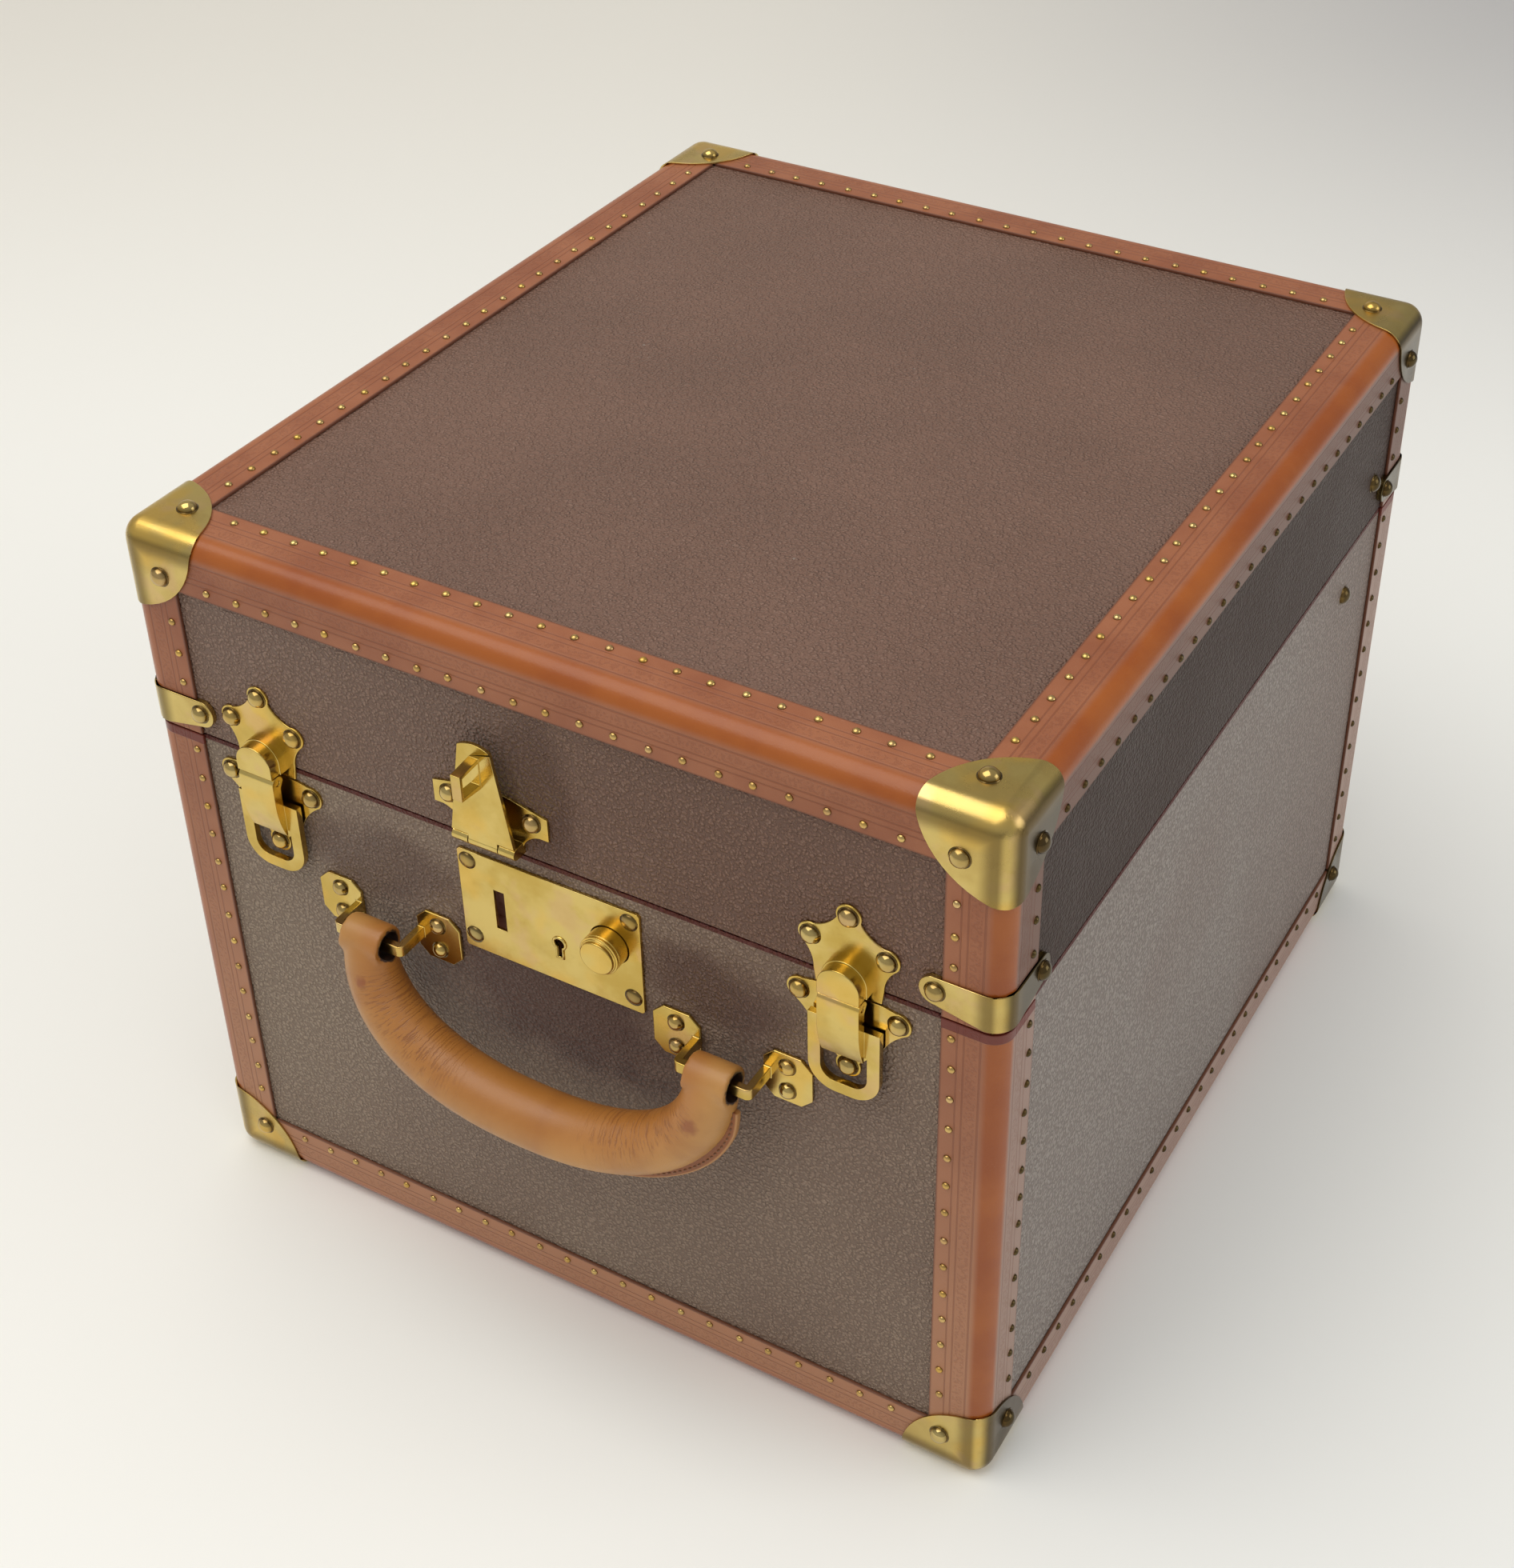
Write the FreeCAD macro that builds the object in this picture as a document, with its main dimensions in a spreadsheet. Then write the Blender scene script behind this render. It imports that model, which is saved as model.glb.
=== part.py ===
import FreeCAD, Part
import Sketcher
import math
import os
import re

# Hat trunk: a near-cubic poplar case covered in grained leather, its edges bound in fibre strips and
# its corners capped in brass. The lid hinges at the back; two draw latches, a hasp lock and a leather
# handle stand on the front. X runs along the front, -Y is the front, Z is up, all in millimetres.
# The origin is on the floor, under the middle of the trunk's overall box.

DIMENSIONS = [
    ("trunk_width", 370, "case over the edge strips, left to right"),
    ("trunk_depth", 408, "case over the edge strips, front to back"),
    ("trunk_height", 326, "case over the edge strips, bottom to top"),
    ("trunk_shift", 14.35, "case moved back, so that handle and hinges balance about the origin"),
    ("seam_height", 236, "height of the line between base and lid"),
    ("seam_gap", 0.8, "shadow gap at the seam"),
    ("strip_leg", 24, "width of an edge strip on each face"),
    ("strip_thickness", 1.4, "thickness of an edge strip"),
    ("strip_radius", 8, "outer rounding of an edge strip"),
    ("strip_end", 24.2, "distance of a strip's end from the case corner"),
    ("cover_thickness", 1, "leather covering"),
    ("base_board", 9, "poplar boards of the base"),
    ("lid_board", 8, "poplar boards of the lid"),
    ("lining_thickness", 0.8, "cloth lining"),
    ("lip_thickness", 6, "closing lip inside the mouth of the base"),
    ("lip_rise", 8, "lip above the seam"),
    ("lip_drop", 40, "lip below the seam"),
    ("lip_round", 2, "bevelled top edges of the lip"),
    ("cap_thickness", 1, "sheet brass of the corner caps and straps"),
    ("cap_reach", 36.5, "corner cap's reach along each edge"),
    ("cap_relief", 4.6, "bevel inside a cap, over the strips' rounding"),
    ("edge_bevel", 4, "bevelled edges of the boards and the leather, under the strips"),
    ("strap_middle", 11.5, "lid strap's middle above the seam"),
    ("strap_corner", 7.9, "strap's half height at the corner"),
    ("strap_dip", 2, "strap's middle at the corner below that at its ends"),
    ("strap_end", 6.2, "strap's end radius"),
    ("strap_round", 26, "centre of the strap's round end from the case edge"),
    ("plate_thickness", 1.2, "sheet brass of latch and hasp plates"),
    ("lobe_radius", 5, "rounded lobe for a rivet"),
    ("latch_left", 129, "left latch from the middle of the front"),
    ("latch_right", 125.5, "right latch from the middle of the front"),
    ("keeper_top", 29, "keeper's upper lobe above the seam"),
    ("keeper_side", 14.8, "keeper's side lobes from its middle"),
    ("keeper_rise", 15.3, "keeper's side lobes above the seam"),
    ("keeper_foot", 5, "keeper's plate below the seam"),
    ("keeper_half", 13, "keeper's half width at its foot"),
    ("dome_radius", 8.25, "keeper's round-topped housing"),
    ("dome_spring", 2.2, "height where the housing's round top springs"),
    ("dome_foot", 2.2, "housing's lower end below the seam"),
    ("dome_depth", 9, "housing's depth from the leather"),
    ("dome_wall", 1.4, "housing's wall"),
    ("latch_pin_drop", 5.5, "latch pin below the seam"),
    ("latch_pin_out", 6, "latch pin from the leather"),
    ("latch_pin_radius", 1.2, "latch pin"),
    ("running_gap", 0.05, "radial clearance of turning parts"),
    ("lug_radius", 2, "hinge lug round the latch pin, hidden behind the lever"),
    ("lug_half", 3, "hinge lug's half width"),
    ("lug_clear", 0.15, "lever's recess round the hinge lug"),
    ("lug_gap", 0.4, "side clearance of the turning pieces"),
    ("barrel_radius", 3, "lever's rolled upper end"),
    ("lever_half", 8.25, "lever's half width"),
    ("lever_foot", 31.3, "lever's lower end below the seam"),
    ("lever_flat", 14, "lower end of the lever's flat front below the seam"),
    ("lever_toe", 5.6, "lever's front from the leather at its lower end"),
    ("loop_half", 14.3, "pull loop's half width"),
    ("loop_band", 5, "pull loop's band"),
    ("loop_top", 17, "pull loop's upper end below the seam"),
    ("loop_foot", 51, "pull loop's lower end below the seam"),
    ("loop_round", 11, "pull loop's rounded lower corners"),
    ("loop_out", 2, "pull loop's back face from the leather"),
    ("loop_thickness", 2.8, "pull loop"),
    ("ear_x", 19.5, "latch plate's side lobes from its middle"),
    ("ear_drop", 11.8, "latch plate's side lobes below the seam"),
    ("tail_drop", 39.6, "latch plate's lower lobe below the seam"),
    ("latch_plate_top", 5.7, "latch plate's upper edge below the seam"),
    ("lock_middle", 205, "height of the lock plate's middle"),
    ("lock_half_length", 40.2, "lock plate's half length"),
    ("lock_half_width", 23.9, "lock plate's half height"),
    ("lock_thickness", 1.5, "lock plate"),
    ("lock_corner", 0.9, "trimmed corners of the lock plate"),
    ("slot_x", 22.6, "staple slot left of the lock's middle"),
    ("slot_drop", 0.3, "staple slot below the lock's middle"),
    ("slot_half_width", 2.3, "staple slot"),
    ("slot_half_length", 9.4, "staple slot"),
    ("key_x", 3.8, "keyhole right of the lock's middle"),
    ("key_drop", 4.7, "keyhole below the lock's middle"),
    ("key_radius", 2.1, "keyhole's round head"),
    ("key_half", 0.9, "keyhole's half width below its head"),
    ("key_neck", 1.8974, "head's centre above the keyhole's neck"),
    ("key_foot", 6.5, "keyhole's lower end below its centre"),
    ("button_x", 26.4, "push button right of the lock's middle"),
    ("button_rise", 4.5, "push button above the lock's middle"),
    ("button_radius", 8.2, "push button"),
    ("button_out", 10.5, "push button's front from the leather"),
    ("button_flange", 8.9, "push button's inner flange"),
    ("flange_depth", 1.4, "button's eight-sided flange behind the plate"),
    ("button_gap", 0.3, "push button's clearance"),
    ("lock_case_half", 38, "lock case's half length"),
    ("lock_case_tall", 15, "lock case's half height"),
    ("lock_case_depth", 9.6, "lock case behind the leather's face"),
    ("lock_case_wall", 1, "lock case's sheet metal"),
    ("mortise_gap", 0.2, "room round the lock case in the board"),
    ("hasp_x", 22.6, "hasp left of the middle"),
    ("hasp_rise", 4.5, "hasp's pin above the seam"),
    ("hasp_out", 5, "hasp's pin from the leather"),
    ("hasp_pin_radius", 1.2, "hasp's pin"),
    ("hasp_knuckle", 2.6, "hasp's knuckles"),
    ("hasp_middle", 6.4, "half length of the leaf's knuckle"),
    ("hasp_half", 13.8, "leaf's half width at the hinge"),
    ("hasp_shoulder", 3, "leaf's shoulder from the pin"),
    ("hasp_tip_half", 7, "leaf's half width at the tip"),
    ("hasp_tip", 44, "start of the leaf's round tip from the pin"),
    ("hasp_tip_radius", 13.3, "leaf's round tip"),
    ("hasp_leaf", 1.6, "leaf's thickness"),
    ("leaf_ahead", 1.4, "leaf's middle plane ahead of the pin"),
    ("wing_x", 18.3, "middle of the hasp plate's wings"),
    ("wing_rise", 13.3, "middle of the hasp plate's wings above the pin"),
    ("staple_half", 2.1, "staple's half width"),
    ("staple_start", 27, "staple's near end from the pin"),
    ("staple_finish", 40.5, "staple's far end from the pin"),
    ("staple_reach", 13.4, "staple's reach from the leaf's plane"),
    ("staple_wall", 1.5, "metal round the staple's window"),
    ("handle_x", 77.4, "handle's end loops from the middle"),
    ("handle_height", 177.8, "height of the handle's pivot"),
    ("handle_out", 14.5, "handle's pivot from the leather"),
    ("handle_drop", 51.3, "grip's middle line below the pivot"),
    ("handle_lean", 8, "grip's middle line further out than the pivot"),
    ("grip_half", 13.2, "grip's radius in the middle"),
    ("grip_deep", 13, "grip's half thickness in the middle"),
    ("grip_end", 8.6, "grip's half width at its loops"),
    ("grip_flat", 7, "grip's half thickness at its loops"),
    ("eye_radius", 8, "leather loop round the prongs"),
    ("eye_bore", 5.6, "hole of the leather loop"),
    ("bracket_x", 23.5, "bracket plate from the loop's middle"),
    ("bracket_half", 10.2, "bracket plate's half width"),
    ("bracket_tall", 11.5, "bracket plate's half height"),
    ("bracket_cut", 4.5, "bracket plate's cut corners"),
    ("bracket_plate", 1.6, "bracket plate"),
    ("prong_thickness", 3.2, "bent prong"),
    ("prong_half", 2.5, "prong's half height"),
    ("prong_reach", 18.5, "prong's reach from its plate's middle"),
    ("prong_bend", 2.6, "prong's outer bend"),
    ("hinge_x", 95, "back hinge from the middle"),
    ("hinge_half", 30, "back hinge's half length"),
    ("hinge_leaf", 28, "back hinge's leaf from its pin"),
    ("hinge_clear", 3.9, "leaf's edge from the pin, clear of the other's knuckles"),
    ("hinge_out", 3.6, "back hinge's pin from the leather"),
    ("hinge_knuckle", 3.2, "back hinge's knuckle"),
    ("hinge_pin", 1.5, "back hinge's pin"),
    ("hinge_thickness", 1.4, "back hinge's sheet brass"),
    ("hinge_corner", 4, "leaf's rounded corners"),
    ("knuckle_gap", 0.2, "end clearance of a knuckle"),
    ("stay_base_y", 140.6, "stay's stud on the base, behind the middle"),
    ("stay_base_z", 212, "stay's stud on the base"),
    ("stay_lid_y", 164, "stay's stud on the lid, behind the middle"),
    ("stay_lid_z", 257, "stay's stud on the lid"),
    ("stay_length", 56, "stay's links between their pivots"),
    ("stay_half", 5, "stay link's half width"),
    ("stay_thickness", 1.8, "stay link"),
    ("stay_lower_in", 19, "lower link from the case's side"),
    ("stay_upper_in", 21.2, "upper link from the case's side"),
    ("stud_radius", 2, "stay stud"),
    ("stud_shoulder", 3.8, "stay stud's eight-sided inner head"),
    ("stud_head", 1.2, "thickness of that head"),
]

document = FreeCAD.newDocument("hat_trunk")
sheet = document.addObject("Spreadsheet::Sheet", "dims")
for row, (alias, number, note) in enumerate(DIMENSIONS, start=1):
    sheet.set(f"A{row}", note)
    sheet.set(f"B{row}", str(number))
    sheet.setAlias(f"B{row}", alias)
document.recompute()
ALIASES = {alias for alias, number, note in DIMENSIONS}

# Planes of the case, as formulas on the sheet: depths below the strips' outer planes, and heights
COVER = "strip_thickness"
BOARD = "(strip_thickness + cover_thickness)"
BASE_LINING = "(strip_thickness + cover_thickness + base_board)"
BASE_INSIDE = "(strip_thickness + cover_thickness + base_board + lining_thickness)"
LID_LINING = "(strip_thickness + cover_thickness + lid_board)"
LID_INSIDE = "(strip_thickness + cover_thickness + lid_board + lining_thickness)"
FLOOR = "cap_thickness"
CROWN = "(cap_thickness + trunk_height)"
BASE_RIM = "(seam_height - seam_gap / 2)"
LID_RIM = "(seam_height + seam_gap / 2)"
HALF_WIDTH = "(trunk_width / 2)"
HALF_DEPTH = "(trunk_depth / 2)"
FRONT = "(-trunk_depth / 2 + strip_thickness)"
BACK = "(trunk_depth / 2 - strip_thickness)"
SIDE = "(trunk_width / 2 - strip_thickness)"
PAST = 1

X_AXIS = FreeCAD.Vector(1, 0, 0)
Y_AXIS = FreeCAD.Vector(0, 1, 0)
Z_AXIS = FreeCAD.Vector(0, 0, 1)
ALONG_X = FreeCAD.Rotation(Y_AXIS, 90)
nodes = []


def formula(text):
    """The text as an expression: each name of a cell gets the sheet's name before it."""
    def with_sheet(word):
        return "dims." + word.group() if word.group() in ALIASES else word.group()
    return re.sub(r"[a-z_]+", with_sheet, str(text))


def size(text):
    """What a formula comes to now."""
    return float(sheet.evalExpression(formula(text)))


def bind(item, **texts):
    """Ties properties of an object to formulas on the sheet."""
    for name, text in texts.items():
        item.setExpression(name, formula(text))


def place(item, x, y, z, rotation=FreeCAD.Rotation()):
    """Puts an object at a point of the case, which is centred on the Z axis."""
    item.Placement = FreeCAD.Placement(FreeCAD.Vector(), rotation)
    for axis, text in zip("xyz", (x, y, z)):
        item.setExpression(f"Placement.Base.{axis}", formula(text))


def finish(item, x=0, y=0, z=0, rotation=FreeCAD.Rotation()):
    """Places a finished sub-part, with the case's shift, and lists it for writing."""
    place(item, x, f"{y} + trunk_shift", z, rotation)
    nodes.append(item)


def turned(first, second):
    """The rotation that lays local X along first and local Y along second."""
    third = first.cross(second)
    rows = [value for axis in range(3) for value in (first[axis], second[axis], third[axis], 0)]
    return FreeCAD.Placement(FreeCAD.Matrix(*rows, 0, 0, 0, 1)).Rotation


def corner_rotation(side_x, side_y, inward_z):
    """Turns a piece drawn for a corner with its faces along +X, +Y and +Z into another corner."""
    first = X_AXIS * -side_x
    second = Y_AXIS * -side_y
    if first.cross(second).z * inward_z < 0:
        first, second = second, first
    return turned(first, second)


def block(name, x, y, z, length, width, height):
    """A plain block from its lowest corner and its three sizes."""
    box = document.addObject("Part::Box", name)
    bind(box, Length=length, Width=width, Height=height)
    place(box, x, y, z)
    return box


def inner_block(name, inset, low, high):
    """A block whose sides stand a depth inside the strips' outer planes."""
    return block(name, f"-{HALF_WIDTH} + {inset}", f"-{HALF_DEPTH} + {inset}", low,
                 f"trunk_width - 2 * {inset}", f"trunk_depth - 2 * {inset}", f"{high} - {low}")


def boolean(kind, name, base, tool):
    """Cut or Common of two solids."""
    result = document.addObject(f"Part::{kind}", name)
    result.Base = base
    result.Tool = tool
    return result


def compound(name, pieces):
    """Separate solids in one object."""
    result = document.addObject("Part::Compound", name)
    result.Links = pieces
    return result


def new_body(name):
    return document.addObject("PartDesign::Body", name)


def sketch_on(body, plane, offset="0"):
    """An empty sketch on one of the body's own planes, or at an offset along its normal."""
    sketch = body.newObject("Sketcher::SketchObject", f"{body.Name}_sketch")
    support = next(item for item in body.Origin.OriginFeatures if item.Role == plane)
    sketch.AttachmentSupport = [(support, "")]
    sketch.MapMode = "FlatFace"
    sketch.setExpression("AttachmentOffset.Base.z", formula(offset))
    return sketch


def hold(sketch, kind, *place_and_text):
    """Adds a dimension to a sketch and ties it to a formula."""
    *where, text = place_and_text
    index = sketch.addConstraint(Sketcher.Constraint(kind, *where, size(text)))
    sketch.setExpression(f"Constraints[{index}]", formula(text))


def outline(sketch, corners):
    """A closed outline. A corner is (x, y) after a straight side, or (x, y, radius) after an arc of under a
    half circle, whose radius is positive where it turns left."""
    first = sketch.GeometryCount
    count = len(corners)
    points = [FreeCAD.Vector(size(corner[0]), size(corner[1]), 0) for corner in corners]
    ends = []
    for index in range(count):
        start = points[index]
        stop = points[(index + 1) % count]
        arc = corners[(index + 1) % count][2:]
        if not arc:
            sketch.addGeometry(Part.LineSegment(start, stop))
            ends.append((1, 2))
            continue
        turn = math.copysign(1, size(arc[0]))
        radius = abs(size(arc[0]))
        chord = stop - start
        rise = math.sqrt(max(radius ** 2 - (chord.Length / 2) ** 2, 0))
        centre = (start + stop) * 0.5 + Z_AXIS.cross(chord).normalize() * rise * turn
        angles = [math.atan2(point.y - centre.y, point.x - centre.x) for point in (start, stop)]
        begin, end = angles if turn > 0 else angles[::-1]
        sketch.addGeometry(Part.ArcOfCircle(Part.Circle(centre, Z_AXIS, radius), begin, end))
        ends.append((1, 2) if turn > 0 else (2, 1))
    joints = []
    for index in range(count):
        after = (index + 1) % count
        joined = (first + index, ends[index][1], first + after, ends[after][0])
        joints.append(Sketcher.Constraint("Coincident", *joined))
    sketch.addConstraint(joints)
    for index, corner in enumerate(corners):
        hold(sketch, "DistanceX", -1, 1, first + index, ends[index][0], corner[0])
        hold(sketch, "DistanceY", -1, 1, first + index, ends[index][0], corner[1])
        if corner[2:]:
            hold(sketch, "Radius", first + (index - 1) % count, f"abs({corner[2]})")


def mirrored(half):
    """The outline of a piece that is alike on both sides, from its right half, listed upwards."""
    left = []
    arcs = [corner[2:] for corner in half[1:]] + [()]
    for corner, arc in zip(half[::-1], arcs[::-1]):
        left.append((f"-({corner[0]})", corner[1], *arc))
    if half[-1][0] == "0":
        left = left[1:]
    if half[0][0] == "0":
        closing = left.pop()
        half = [(*half[0], *closing[2:])] + half[1:]
    return half + left


def hole(sketch, x, y, radius):
    """A circle in a sketch, for a hole or for a pin."""
    index = sketch.addGeometry(Part.Circle(FreeCAD.Vector(size(x), size(y), 0), Z_AXIS, size(radius)))
    hold(sketch, "DistanceX", -1, 1, index, 3, x)
    hold(sketch, "DistanceY", -1, 1, index, 3, y)
    hold(sketch, "Radius", index, radius)


def feature(body, kind, sketch, length, symmetric=False, reverse=False):
    """Pad or Pocket of a sketch."""
    result = body.newObject(f"PartDesign::{kind}", f"{body.Name}_{kind.lower()}")
    result.Profile = sketch
    bind(result, Length=length)
    result.SideType = "Symmetric" if symmetric else "One side"
    result.Reversed = reverse
    return result


def soften(body, base, kind, wanted, **sizes):
    """Fillet or Chamfer of the edges of a feature whose ends and middle pass a test."""
    document.recompute()
    edges = []
    for index, edge in enumerate(base.Shape.Edges, start=1):
        middle = edge.valueAt((edge.FirstParameter + edge.LastParameter) / 2)
        if all(wanted(point) for point in [middle] + [vertex.Point for vertex in edge.Vertexes]):
            edges.append(f"Edge{index}")
    result = body.newObject(f"PartDesign::{kind}", f"{body.Name}_{kind.lower()}")
    result.Base = (base, edges)
    bind(result, **sizes)


def bevelled_case(name, inset, low, high, closed_end):
    """A solid case block: its upright edges and its closed end are bevelled, its open end is square."""
    body = new_body(name)
    core = body.newObject("PartDesign::AdditiveBox", f"{name}_core")
    bind(core, Length=f"trunk_width - 2 * {inset}", Width=f"trunk_depth - 2 * {inset}",
         Height=f"{high} - {low}")
    place(core, f"-{HALF_WIDTH} + {inset}", f"-{HALF_DEPTH} + {inset}", low)
    open_height = size(high if closed_end == "low" else low)
    half_width = size(f"{HALF_WIDTH} - {inset}")
    half_depth = size(f"{HALF_DEPTH} - {inset}")
    document.recompute()
    edges = []
    for index, edge in enumerate(core.Shape.Edges, start=1):
        middle = edge.CenterOfMass
        upright = math.isclose(abs(middle.x), half_width) and math.isclose(abs(middle.y), half_depth)
        if upright or not math.isclose(middle.z, open_height):
            edges.append(f"Edge{index}")
    bevel = body.newObject("PartDesign::Chamfer", f"{name}_bevel")
    bevel.Base = (core, edges)
    bind(bevel, Size="edge_bevel")
    return body


# Poplar boards: a front let in for the lock, the back, two sides between them and a bottom
def boards(part, low, high, closed_end, thickness, inner):
    """The boards of the base or the lid, cut from one bevelled block so that their corners run on."""
    case = bevelled_case(f"{part}_block", BOARD, low, high, closed_end)
    height = f"{high} - {low}"
    across = f"trunk_width - 2 * {BOARD}"
    between = f"trunk_depth - 2 * {inner}"
    flat_low = low if closed_end == "low" else f"({high} - {thickness})"
    slabs = {
        "front": block(f"{part}_front_slab", f"-{HALF_WIDTH} + {BOARD}", f"-{HALF_DEPTH} + {BOARD}", low,
                       across, thickness, height),
        "back": block(f"{part}_back_slab", f"-{HALF_WIDTH} + {BOARD}", f"{HALF_DEPTH} - {inner}", low,
                      across, thickness, height),
        "left": block(f"{part}_left_slab", f"-{HALF_WIDTH} + {BOARD}", f"-{HALF_DEPTH} + {inner}", low,
                      thickness, between, height),
        "right": block(f"{part}_right_slab", f"{HALF_WIDTH} - {inner}", f"-{HALF_DEPTH} + {inner}", low,
                       thickness, between, height),
        "flat": block(f"{part}_flat_slab", f"-{HALF_WIDTH} + {inner}", f"-{HALF_DEPTH} + {inner}", flat_low,
                      f"trunk_width - 2 * {inner}", between, thickness),
    }
    return {name: boolean("Common", f"{part}_{name}", case, slab) for name, slab in slabs.items()}


BOARD_FLOOR = f"({FLOOR} + {BOARD})"
BOARD_CROWN = f"({CROWN} - {BOARD})"
base_pieces = boards("base", BOARD_FLOOR, BASE_RIM, "low", "base_board", BASE_LINING)
lid_pieces = boards("lid", LID_RIM, BOARD_CROWN, "high", "lid_board", LID_LINING)
mortise = block("lock_mortise", "-lock_case_half - mortise_gap", f"-{HALF_DEPTH} - {PAST}",
                "lock_middle - lock_case_tall - mortise_gap", "2 * (lock_case_half + mortise_gap)",
                f"{BASE_LINING} + 2 * {PAST}", "2 * (lock_case_tall + mortise_gap)")
finish(boolean("Cut", "base_front_board", base_pieces.pop("front"), mortise))
finish(compound("base_boards", list(base_pieces.values())))
finish(compound("lid_boards", list(lid_pieces.values())))


# Leather covering, drawn over the outside of each half
COVER_FLOOR = f"({FLOOR} + {COVER})"
COVER_CROWN = f"({CROWN} - {COVER})"
base_outside = bevelled_case("base_outside", COVER, COVER_FLOOR, BASE_RIM, "low")
base_hollow = bevelled_case("base_hollow", BOARD, BOARD_FLOOR, f"({BASE_RIM} + {PAST})", "low")
base_skin = boolean("Cut", "base_skin", base_outside, base_hollow)
finish(boolean("Cut", "base_covering", base_skin, mortise))
lid_outside = bevelled_case("lid_outside", COVER, LID_RIM, COVER_CROWN, "high")
lid_hollow = bevelled_case("lid_hollow", BOARD, f"({LID_RIM} - {PAST})", BOARD_CROWN, "high")
finish(boolean("Cut", "lid_covering", lid_outside, lid_hollow))

# Cloth lining of each half
LINING_FLOOR = f"({BOARD_FLOOR} + base_board)"
LINING_CROWN = f"({BOARD_CROWN} - lid_board)"
base_cloth = inner_block("base_cloth", BASE_LINING, LINING_FLOOR, BASE_RIM)
base_room = inner_block("base_room", BASE_INSIDE, f"({LINING_FLOOR} + lining_thickness)",
                        f"({BASE_RIM} + {PAST})")
finish(boolean("Cut", "base_lining", base_cloth, base_room))
lid_cloth = inner_block("lid_cloth", LID_LINING, LID_RIM, LINING_CROWN)
lid_room = inner_block("lid_room", LID_INSIDE, f"({LID_RIM} - {PAST})",
                       f"({LINING_CROWN} - lining_thickness)")
finish(boolean("Cut", "lid_lining", lid_cloth, lid_room))


# Closing lip: three strips inside the mouth of the base, which the lid shuts over
def lip_strip(name, x, y, length, width):
    body = new_body(name)
    core = body.newObject("PartDesign::AdditiveBox", f"{name}_core")
    bind(core, Length=length, Width=width, Height="lip_rise + lip_drop")
    top = size("lip_rise + lip_drop")
    soften(body, core, "Chamfer", lambda point: math.isclose(point.z, top), Size="lip_round")
    place(body, x, y, "seam_height - lip_drop")
    return body


lip_length = f"trunk_depth - 2 * {BASE_INSIDE} - lip_thickness"
lip_start = f"-{HALF_DEPTH} + {BASE_INSIDE}"
lips = [
    lip_strip("lip_front", f"-{HALF_WIDTH} + {BASE_INSIDE}", lip_start, f"trunk_width - 2 * {BASE_INSIDE}",
              "lip_thickness"),
    lip_strip("lip_left", f"-{HALF_WIDTH} + {BASE_INSIDE}", f"{lip_start} + lip_thickness", "lip_thickness",
              lip_length),
    lip_strip("lip_right", f"{HALF_WIDTH} - {BASE_INSIDE} - lip_thickness", f"{lip_start} + lip_thickness",
              "lip_thickness", lip_length),
]
finish(compound("mouth_lip", lips))


# Edge strips: an angle of fibre with a rounded outer edge, bedded on the bevelled edges between the caps
def edge_strip(name, sides, low, high):
    """A strip on the edge named by its sides (0 marks the axis that it runs along), from low to high."""
    body = new_body(name)
    sketch = sketch_on(body, "XY_Plane")
    bevel_start = "strip_thickness + edge_bevel"
    outline(sketch, [
        ("strip_leg", "0"), ("strip_leg", "strip_thickness"), (bevel_start, "strip_thickness"),
        ("strip_thickness", bevel_start), ("strip_thickness", "strip_leg"),
        ("0", "strip_leg"), ("0", "strip_radius"), ("strip_radius", "0", "strip_radius"),
    ])
    feature(body, "Pad", sketch, f"{high} - {low}")
    axes = (X_AXIS, Y_AXIS, Z_AXIS)
    first, second = [axes[index] * -side for index, side in enumerate(sides) if side]
    run = first.cross(second)
    height = CROWN if sides[2] > 0 else FLOOR
    spot = [f"{sides[0]} * {HALF_WIDTH}", f"{sides[1]} * {HALF_DEPTH}", height]
    along = sides.index(0)
    spot[along] = low if run[along] > 0 else high
    return body, spot, turned(first, second)


def edges_between_caps(half):
    return f"(-{half} + strip_end)", f"({half} - strip_end)"


SIDES = {"front": (0, -1), "back": (0, 1), "left": (-1, 0), "right": (1, 0)}
for part, level in (("bottom", -1), ("lid", 1)):
    for side, (side_x, side_y) in SIDES.items():
        ends = edges_between_caps(HALF_WIDTH if side_x == 0 else HALF_DEPTH)
        strip, spot, rotation = edge_strip(f"{part}_strip_{side}", (side_x, side_y, level), *ends)
        finish(strip, *spot, rotation)

CORNERS = {"front_left": (-1, -1), "front_right": (1, -1), "back_left": (-1, 1), "back_right": (1, 1)}
for corner, (side_x, side_y) in CORNERS.items():
    post, spot, rotation = edge_strip(f"base_post_{corner}", (side_x, side_y, 0),
                                      f"({FLOOR} + strip_end)", BASE_RIM)
    finish(post, *spot, rotation)
lid_posts = []
for corner, (side_x, side_y) in CORNERS.items():
    post, spot, rotation = edge_strip(f"lid_post_{corner}", (side_x, side_y, 0),
                                      LID_RIM, f"({CROWN} - strip_end)")
    place(post, *spot, rotation)
    lid_posts.append(post)
finish(compound("lid_posts", lid_posts))


# Corner caps: pressed from sheet brass over a rounded corner, trimmed to a round lobe on each face
def cube_corner(name, depth, kind, **sizes):
    """A cube's corner with softened edges, its faces a depth inside the cap's outer faces."""
    body = new_body(name)
    core = body.newObject("PartDesign::AdditiveBox", f"{name}_core")
    bind(core, Length="cap_reach", Width="cap_reach", Height="cap_reach")
    place(core, depth, depth, depth)
    near = size(depth)
    soften(body, core, kind, lambda point: sum(math.isclose(value, near) for value in point) > 1, **sizes)
    return body


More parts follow.
